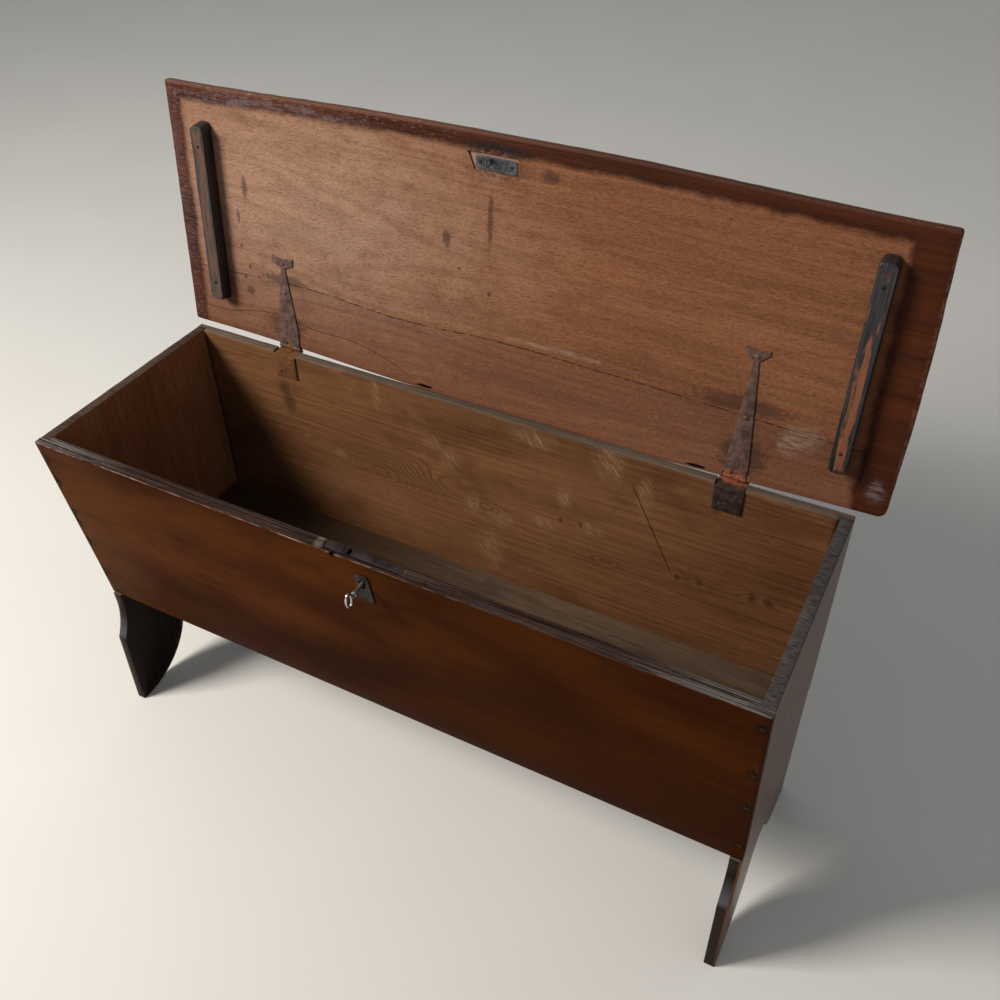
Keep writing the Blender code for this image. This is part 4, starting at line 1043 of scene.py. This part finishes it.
for side, outer in (("left", CASE_LEFT), ("right", CASE_RIGHT)):
    end = board_blank(f"{side}_end_board", f"{side}_end_plank")
    end_low, end_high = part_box(f"{side}_end_board")
    inner = end_high.x if side == "left" else end_low.x
    saw(end, 1, steps_between(end_low.y, end_high.y, 0.012))
    saw(end, 2, [RIM - 0.004] + steps_between(0.004, RIM - 0.004, 0.02))
    soften(end, 0.0013, 3, lambda spot: near(spot.x, outer))
    soften(end, 0.0012, 2, lambda spot: near(spot.x, inner)
           and (near(spot.z, RIM) or spot.z < WALL_FOOT - 0.002))
    weather(end, 0.022, 0.0012, lambda spot: spot.z > RIM - 0.003, 0.60)
    hand_over(end, "case", "aged_oak", lightened_left_oak if side == "left" else right_oak, f"{side}_end_board")

bottom_board = board_blank("bottom_board", "bottom_plank")
hand_over(bottom_board, "case", "aged_oak", bottom_oak, "bottom_board")

# %% [markdown]
# The lid is the sixth plank. It is shaped lying shut, from a plain block: cut into a grid, its three upper
# edges rounded over, its under edges softened and its rim weathered. Its rear edge sags, its front corners
# draw back and its right edge swells a little. The bed for the lock's plate, room for the hinges' eyes and
# two broken places in the rear edge are cut out. Then it is turned open about the hinge line.

# %% Lid
LID_SAG = 0.0115
SAG_FROM = -0.06
SAG_TO = 0.22
SAG_REACH = 0.42
LID_BULGE = 0.0042
LID_BULGE_AT = lid_low.y + 0.19
BULGE_REACH = 0.17
NOSING = 0.0078
lid_plank = blank("lid_plank", lid_low, lid_high)
divide(lid_plank, 0, 91)
divide(lid_plank, 1, 31)
shift(lid_plank, lambda spot: near(spot.y, lid_high.y) and SAG_FROM < spot.x - CASE_MIDDLE < SAG_TO,
      (0.0, LID_SAG, 0.0), SAG_REACH)
for corner, push in LID_CORNERS:
    shift(lid_plank, lambda spot: near(spot.y, lid_low.y) and near(spot.x, corner), push, CORNER_REACH)
shift(lid_plank, lambda spot: spot.x > lid_high.x - 0.006 and abs(spot.y - LID_BULGE_AT) < 0.03,
      (LID_BULGE, 0.0, 0.0), BULGE_REACH)
middle_z = (lid_low.z + lid_high.z) / 2
for side_x, end_y, round_off in ((lid_low.x, lid_high.y, 0.004), (lid_high.x, lid_high.y, 0.011),
                                 (lid_low.x, lid_low.y, 0.003), (lid_high.x, lid_low.y, 0.004)):
    soften(lid_plank, round_off, 4, lambda spot: near(spot.z, middle_z, 0.001)
           and near(spot.x, side_x, 0.0105) and near(spot.y, end_y, 0.0105))
soften(lid_plank, NOSING, 4, lambda spot: near(spot.z, lid_high.z) and spot.y < lid_high.y - 0.001)
soften(lid_plank, 0.0012, 2, lambda spot: near(spot.z, lid_low.z))
weather(lid_plank, 0.022, 0.0014, lambda spot: spot.y < lid_low.y + 0.014 or spot.x < lid_low.x + 0.008
        or spot.x > lid_high.x - 0.012, 0.55)
plate_bed = blank("plate_bed", (link_low.x - 0.0020, link_low.y - 0.0035, lid_low.z - 0.004),
                  (link_high.x + 0.0012, link_high.y + 0.0015, lid_low.z + 0.0026))
shift(plate_bed, lambda spot: spot.x < link_low.x and spot.y < link_low.y, (-0.0095, 0.0, 0.0))
cut_away(lid_plank, plate_bed)
for side in ("left", "right"):
    pin_low, pin_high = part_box(f"{side}_hinge_pin")
    eye_room = blank("eye_room", (pin_low.x - 0.001, lid_high.y, lid_low.z - PAST),
                     (pin_high.x + 0.001, lid_high.y + 0.03, lid_high.z + PAST))
    cut_away(lid_plank, eye_room)
for place in BROKEN_PLACES:
    hollow = blank("broken_edge", (CASE_MIDDLE + place - 0.016, lid_high.y + 0.0025, lid_low.z - PAST),
                   (CASE_MIDDLE + place + 0.014, lid_high.y + 0.0068, lid_low.z + 0.009))
    shift(hollow, lambda spot: spot.x < CASE_MIDDLE + place and spot.y < lid_high.y + 0.004,
          (0.0, 0.0032, 0.0))
    cut_away(lid_plank, hollow)
set_in(lid_plank, open_lid)
hand_over(lid_plank, "lid", "aged_oak", lid_oak, "lid_board")

# %% [markdown]
# Each batten is a block whose ends are sloped by moving their lower corners in, and whose lower long edges
# are bevelled: a plain chamfer on the left one, a rounder one on the right.

# %% Battens
BATTEN_SLOPE = 0.004
BATTEN_CORNER = 0.007


def shape_batten(side, corner, steps, material):
    low, high = box_in(f"{side}_batten", shut_lid)
    batten = blank(f"{side}_lid_batten", low, high)
    for end, push in ((low.y, BATTEN_SLOPE), (high.y, -BATTEN_SLOPE)):
        shift(batten, lambda spot: near(spot.z, low.z) and near(spot.y, end), (0.0, push, 0.0))
    soften(batten, BATTEN_CORNER, 4, lambda spot: near(spot.z, (low.z + high.z) / 2, 0.001))
    soften(batten, corner, steps, lambda spot: near(spot.z, low.z)
           and abs(spot.y - (low.y + high.y) / 2) < 0.01)
    divide(batten, 1, 30)
    soften(batten, 0.0010, 2, lambda spot: spot.y < low.y + 0.012 or spot.y > high.y - 0.012)
    weather(batten, 0.030, 0.0014, lambda spot: spot.z < high.z - 0.001, 0.55)
    set_in(batten, open_lid)
    hand_over(batten, "lid", "aged_oak", material, f"{side}_batten")


shape_batten("left", 0.0042, 1, left_paint)
shape_batten("right", 0.0062, 4, right_paint)

# %% [markdown]
# A smith draws a strap hinge out of a bar: wide at the knuckle, tapering to a narrow neck, then spread
# again into a notched tail. The block is drawn out the same way, by extruding its end face and narrowing
# it, and its wide end is cut out for the leaf's eye.

# %% Hinge straps
STRAP_SHOULDER = 0.024
STRAP_NECK = 0.007
STRAP_TAIL_LENGTH = 0.017
STRAP_TAILS = {"left": (0.037, 0.006), "right": (0.031, 0.011)}
STRAP_NOTCH = 0.003
STRAP_STATIONS = 37
IRON_THICKNESS = 0.0022
KNUCKLE_RADIUS = 0.0045
PIN_RADIUS = 0.0018
LEAF_KNUCKLE = 0.011
LEAF_ROOM = 0.0030
EYE_GAP = 0.0004


def draw_out(piece, length, share, centre):
    """Extrude the face that is selected towards the front and narrow it."""
    bpy.ops.mesh.extrude_region_move(TRANSFORM_OT_translate={"value": (0.0, -length, 0.0)})
    bpy.ops.transform.resize(value=(share, 1.0, 1.0), center_override=centre)


def knuckle(name, start, end):
    """A rolled eye of iron round the hinge line, with its bore sunk into both ends."""
    bpy.ops.object.select_all(action="DESELECT")
    bpy.ops.mesh.primitive_cylinder_add(vertices=24, radius=KNUCKLE_RADIUS, depth=end - start,
                                        location=((start + end) / 2, LID_AXIS.y, LID_AXIS.z),
                                        rotation=(0.0, math.pi / 2, 0.0))
    eye = bpy.context.active_object
    eye.name = name
    bpy.ops.object.transform_apply(location=True, rotation=True, scale=True)
    ends = [face.index for face in eye.data.polygons if abs(face.normal.x) > 0.9]
    mark(eye, "FACE", ends)
    bpy.ops.mesh.inset(thickness=KNUCKLE_RADIUS - PIN_RADIUS - 0.0003)
    bpy.ops.mesh.extrude_region_shrink_fatten(TRANSFORM_OT_shrink_fatten={"value": -0.0012})
    bpy.ops.object.mode_set(mode="OBJECT")
    return eye


def forge_strap(side):
    low, high = box_in(f"{side}_hinge_strap", shut_lid)
    top = lid_low.z
    rear = lid_high.y
    tip = low.y
    middle = (low.x + high.x) / 2
    length = rear - tip
    pin_low, pin_high = box_in(f"{side}_hinge_pin", Matrix.Identity(4))
    base = pin_high.x - pin_low.x - 0.003
    tail, flare = STRAP_TAILS[side]
    strap = blank(f"{side}_strap_forged", (middle - base / 2, rear - STRAP_SHOULDER, top - IRON_THICKNESS),
                  (middle + base / 2, rear + 0.003, top))
    mark(strap, "FACE", [face.index for face in strap.data.polygons if face.normal.y < -0.9])
    neck_y = tip + STRAP_TAIL_LENGTH
    draw_out(strap, rear - STRAP_SHOULDER - neck_y, STRAP_NECK / base, (middle, neck_y, top))
    draw_out(strap, flare, tail / STRAP_NECK, (middle, tip, top))
    draw_out(strap, STRAP_TAIL_LENGTH - flare, 1.0, (middle, tip, top))
    bpy.ops.object.mode_set(mode="OBJECT")
    divide(strap, 0, 1)
    shift(strap, lambda spot: near(spot.y, tip) and near(spot.x, middle), (0.0, STRAP_NOTCH, 0.0))
    half = LEAF_KNUCKLE / 2 + EYE_GAP
    leaf_room = blank("leaf_room", (middle - half, rear - LEAF_ROOM, top - PAST),
                      (middle + half, rear + PAST, top + PAST))
    cut_away(strap, leaf_room)
    saw(strap, 1, [tip + length * step / STRAP_STATIONS for step in range(1, STRAP_STATIONS)])
    soften(strap, 0.0005, 2, lambda spot: near(spot.z, top - IRON_THICKNESS))
    weather(strap, 0.012, 0.0007, lambda spot: spot.z < top - 0.0005, 0.9)
    eyes = [knuckle("eye", middle - base / 2, middle - half),
            knuckle("eye", middle + half, middle + base / 2)]
    pick_only(strap, *eyes)
    bpy.ops.object.join()
    set_in(strap, open_lid)
    hand_over(strap, "lid", "forged_iron", hinge_iron, f"{side}_hinge_strap")


forge_strap("left")
forge_strap("right")

# %% [markdown]
# The leaf is a square of the same iron, bent over the back board's edge. Its upper band is extruded back
# over the rim, and the middle eye is added on the hinge line.

# %% Hinge leaves
LEAF_DROP = 0.040


def forge_leaf(side):
    low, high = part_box(f"{side}_hinge_leaf")
    middle = (low.x + high.x) / 2
    rim_top = low.z + LEAF_DROP
    leaf = blank(f"{side}_leaf_forged", low, (high.x, low.y + IRON_THICKNESS, rim_top))
    saw(leaf, 2, [rim_top - IRON_THICKNESS])
    upper = [face.index for face in leaf.data.polygons if face.normal.y > 0.9
             and face.center.z > rim_top - IRON_THICKNESS]
    mark(leaf, "FACE", upper)
    over_rim = back_high.y - low.y - IRON_THICKNESS
    bpy.ops.mesh.extrude_region_move(TRANSFORM_OT_translate={"value": (0.0, over_rim, 0.0)})
    bpy.ops.object.mode_set(mode="OBJECT")
    divide(leaf, 0, 5)
    soften(leaf, 0.0006, 2, lambda spot: near(spot.y, low.y))
    weather(leaf, 0.012, 0.0006, lambda spot: spot.y < low.y + 0.0005)
    eye = knuckle("eye", middle - LEAF_KNUCKLE / 2, middle + LEAF_KNUCKLE / 2)
    web = blank("web", (middle - LEAF_KNUCKLE / 2, back_high.y - 0.002, rim_top - IRON_THICKNESS),
                (middle + LEAF_KNUCKLE / 2, LID_AXIS.y + 0.0015, LID_AXIS.z - 0.0033))
    lip = blank("lip", (low.x, back_high.y - 0.002, LID_AXIS.z - 0.0068),
                (high.x, LID_AXIS.y + 0.003, LID_AXIS.z - KNUCKLE_RADIUS - 0.0003))
    soften(lip, 0.0004, 2, lambda spot: True)
    pick_only(leaf, eye, web, lip)
    bpy.ops.object.join()
    hand_over(leaf, "case", "forged_iron", stained_iron if side == "left" else leaf_iron,
              f"{side}_hinge_leaf")


forge_leaf("left")
forge_leaf("right")

# %% [markdown]
# A hand-made nail has a head of a few hammer facets. One head is modelled on the bench, from a short eight-
# sided bar whose end is inset and raised, and then copied to every nail's place, each with its own mesh.
# Heads that a neighbour closes on are beaten flat, and those on the front are worn down.

# %% Nails
FLAT_HEAD = 0.2
WORN_HEAD = 0.5
bpy.ops.object.select_all(action="DESELECT")
bpy.ops.mesh.primitive_cylinder_add(vertices=8, radius=1.0, depth=0.5, location=(0.0, 0.0, -0.15))
pattern_nail = bpy.context.active_object
pattern_nail.name = "pattern_nail"
bpy.ops.object.transform_apply(location=True, rotation=True, scale=True)
mark(pattern_nail, "FACE", [face.index for face in pattern_nail.data.polygons if face.normal.z > 0.9])
bpy.ops.mesh.inset(thickness=0.45)
bpy.ops.transform.translate(value=(0.03, -0.02, 0.22))
bpy.ops.object.mode_set(mode="OBJECT")
mark(pattern_nail, "FACE", [face.index for face in pattern_nail.data.polygons if face.normal.z < -0.9])
bpy.ops.mesh.inset(thickness=0.5)
bpy.ops.mesh.extrude_region_move(TRANSFORM_OT_translate={"value": (0.0, 0.0, -2.4)})
bpy.ops.object.mode_set(mode="OBJECT")

out_of_front = (front_plane.to_3x3() @ Vector((0.0, -1.0, 0.0))).normalized()
into_case = -out_of_front
out_of_lid = (open_lid.to_3x3() @ Vector((0.0, 0.0, -1.0))).normalized()
out_of_back = Vector((0.0, 1.0, 0.0))
nail_rows = {"front_nail": (out_of_front, 0.0034, nail_iron), "back_nail": (out_of_back, 0.0039, nail_iron),
             "batten_nail": (out_of_lid, 0.0026, nail_iron), "strap_nail": (out_of_lid, 0.0033, hinge_iron),
             "left_leaf_nail": (-out_of_back, 0.0028, stained_iron),
             "right_leaf_nail": (-out_of_back, 0.0033, leaf_iron),
             "staple_nail": (out_of_lid, 0.0027, lock_iron), "plate_nail": (into_case, 0.0027, lock_iron),
             "escutcheon_pin": (out_of_front, 0.0024, black_iron)}
nail_count = 0
for node in sorted(nodes):
    row = next((row for row in nail_rows if row in node), None)
    if row is None:
        continue
    outward, radius, metal = nail_rows[row]
    spots = [vert.co for vert in nodes[node].data.vertices]
    reach = max(spot.dot(outward) for spot in spots)
    heads = [spot for spot in spots if spot.dot(outward) > reach - 0.0002]
    head = sum(heads, Vector()) / len(heads)
    pick_only(pattern_nail)
    bpy.ops.object.duplicate()
    driven = bpy.context.active_object
    driven.name = node + "_driven"
    spin = Matrix.Rotation(nail_count * 1.7, 4, "Z")
    height = radius
    if "strap_nail_1" in node or "staple_nail" in node:
        height = FLAT_HEAD * radius
    elif "front_nail" in node:
        height = WORN_HEAD * radius
    set_in(driven, Matrix.Translation(head) @ outward.to_track_quat("Z", "Y").to_matrix().to_4x4()
           @ spin @ Matrix.Diagonal((radius, radius, height, 1.0)))
    driven.data.materials.append(metal)
    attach(driven, nodes[node]["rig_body"])
    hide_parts(node)
    nail_count += 1
bpy.data.objects.remove(pattern_nail)
print("drove", nail_count, "nails")

# %% [markdown]
# The lock's pieces, the hinge pins and the key are small, and the frame already holds their working shape.
# Each is copied like the boards. The escutcheon narrows a little to its top, the lid's plate has rounded
# corners, and the lock's plate, its bolt, the escutcheon, the key and the lid's plate lose the sharpness of
# their edges.


# %% Lock, key and pins
def ease(piece, width):
    soften(piece, width, 2, lambda spot: True)


for side in ("left", "right"):
    pin = board_blank(f"{side}_hinge_pin", f"{side}_pin_forged")
    hand_over(pin, nodes[f"{side}_hinge_pin"]["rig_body"], "forged_iron", hinge_iron, f"{side}_hinge_pin")
    guide = board_blank(f"{side}_bolt_guide", f"{side}_guide_forged")
    hand_over(guide, "case", "forged_iron", lock_iron, f"{side}_bolt_guide")

FILED_EDGE = 0.0003
WORN_EDGE = 0.0004
SLOT_FROM_END = 0.0345
SLOT_FROM_FRONT = 0.0065
SLOT_SIZE = Vector((0.0058, 0.0116, 0.0060))
plate = board_blank("lock_plate", "lock_plate_forged")
lock_low, lock_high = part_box("lock_plate")
top_low = min(vert.co.y for vert in plate.data.vertices if near(vert.co.z, RIM))
slot_middle = Vector((lock_low.x + SLOT_FROM_END, top_low + SLOT_FROM_FRONT, RIM))
cut_away(plate, blank("slot", slot_middle - SLOT_SIZE / 2, slot_middle + SLOT_SIZE / 2))
saw(plate, 0, [lock_low.x + (lock_high.x - lock_low.x) * share for share in (0.2, 0.5, 0.8)])
ease(plate, FILED_EDGE)
hand_over(plate, "case", "forged_iron", lock_iron, "lock_plate")
bolt = board_blank("lock_bolt", "bolt_forged")
ease(bolt, FILED_EDGE)
hand_over(bolt, "bolt", "forged_iron", lock_iron, "lock_bolt")
drill_pin = board_blank("drill_pin", "drill_pin_turned")
hand_over(drill_pin, "case", "forged_iron", lock_iron, "drill_pin")

escutcheon = board_blank("escutcheon", "escutcheon_cut")
low, high = box_in("escutcheon", to_front)
top_corners = [vert.index for vert in escutcheon.data.vertices if (to_front @ vert.co).z > high.z - 0.0005]
mark(escutcheon, "VERT", top_corners)
bpy.ops.transform.resize(value=(0.86, 1.0, 1.0), center_override=front_plane @ ((low + high) / 2))
bpy.ops.object.mode_set(mode="OBJECT")
half_width = (high.x - low.x) / 2
soften(escutcheon, 0.0034, 4, lambda spot: (to_front @ spot).z > high.z - 0.0005
       and abs((to_front @ spot).x - (low.x + high.x) / 2) > 0.7 * half_width)
ease(escutcheon, WORN_EDGE)
hand_over(escutcheon, "case", "forged_iron", black_iron, "escutcheon")

key = board_blank("key", "key_filed")
ease(key, WORN_EDGE)
hand_over(key, "key", "worn_steel", key_steel, "key")

link = board_blank("lid_staple", "link_plate_cut")
set_in(link, shut_lid)
corners = [(a, b) for a in (link_low.x, link_high.x) for b in (link_low.y, link_high.y)]
soften(link, 0.0035, 4, lambda spot: any(near(spot.x, a) and near(spot.y, b) for a, b in corners))
ease(link, FILED_EDGE)
set_in(link, open_lid)
hand_over(link, "lid", "worn_steel", plate_steel, "lid_staple")
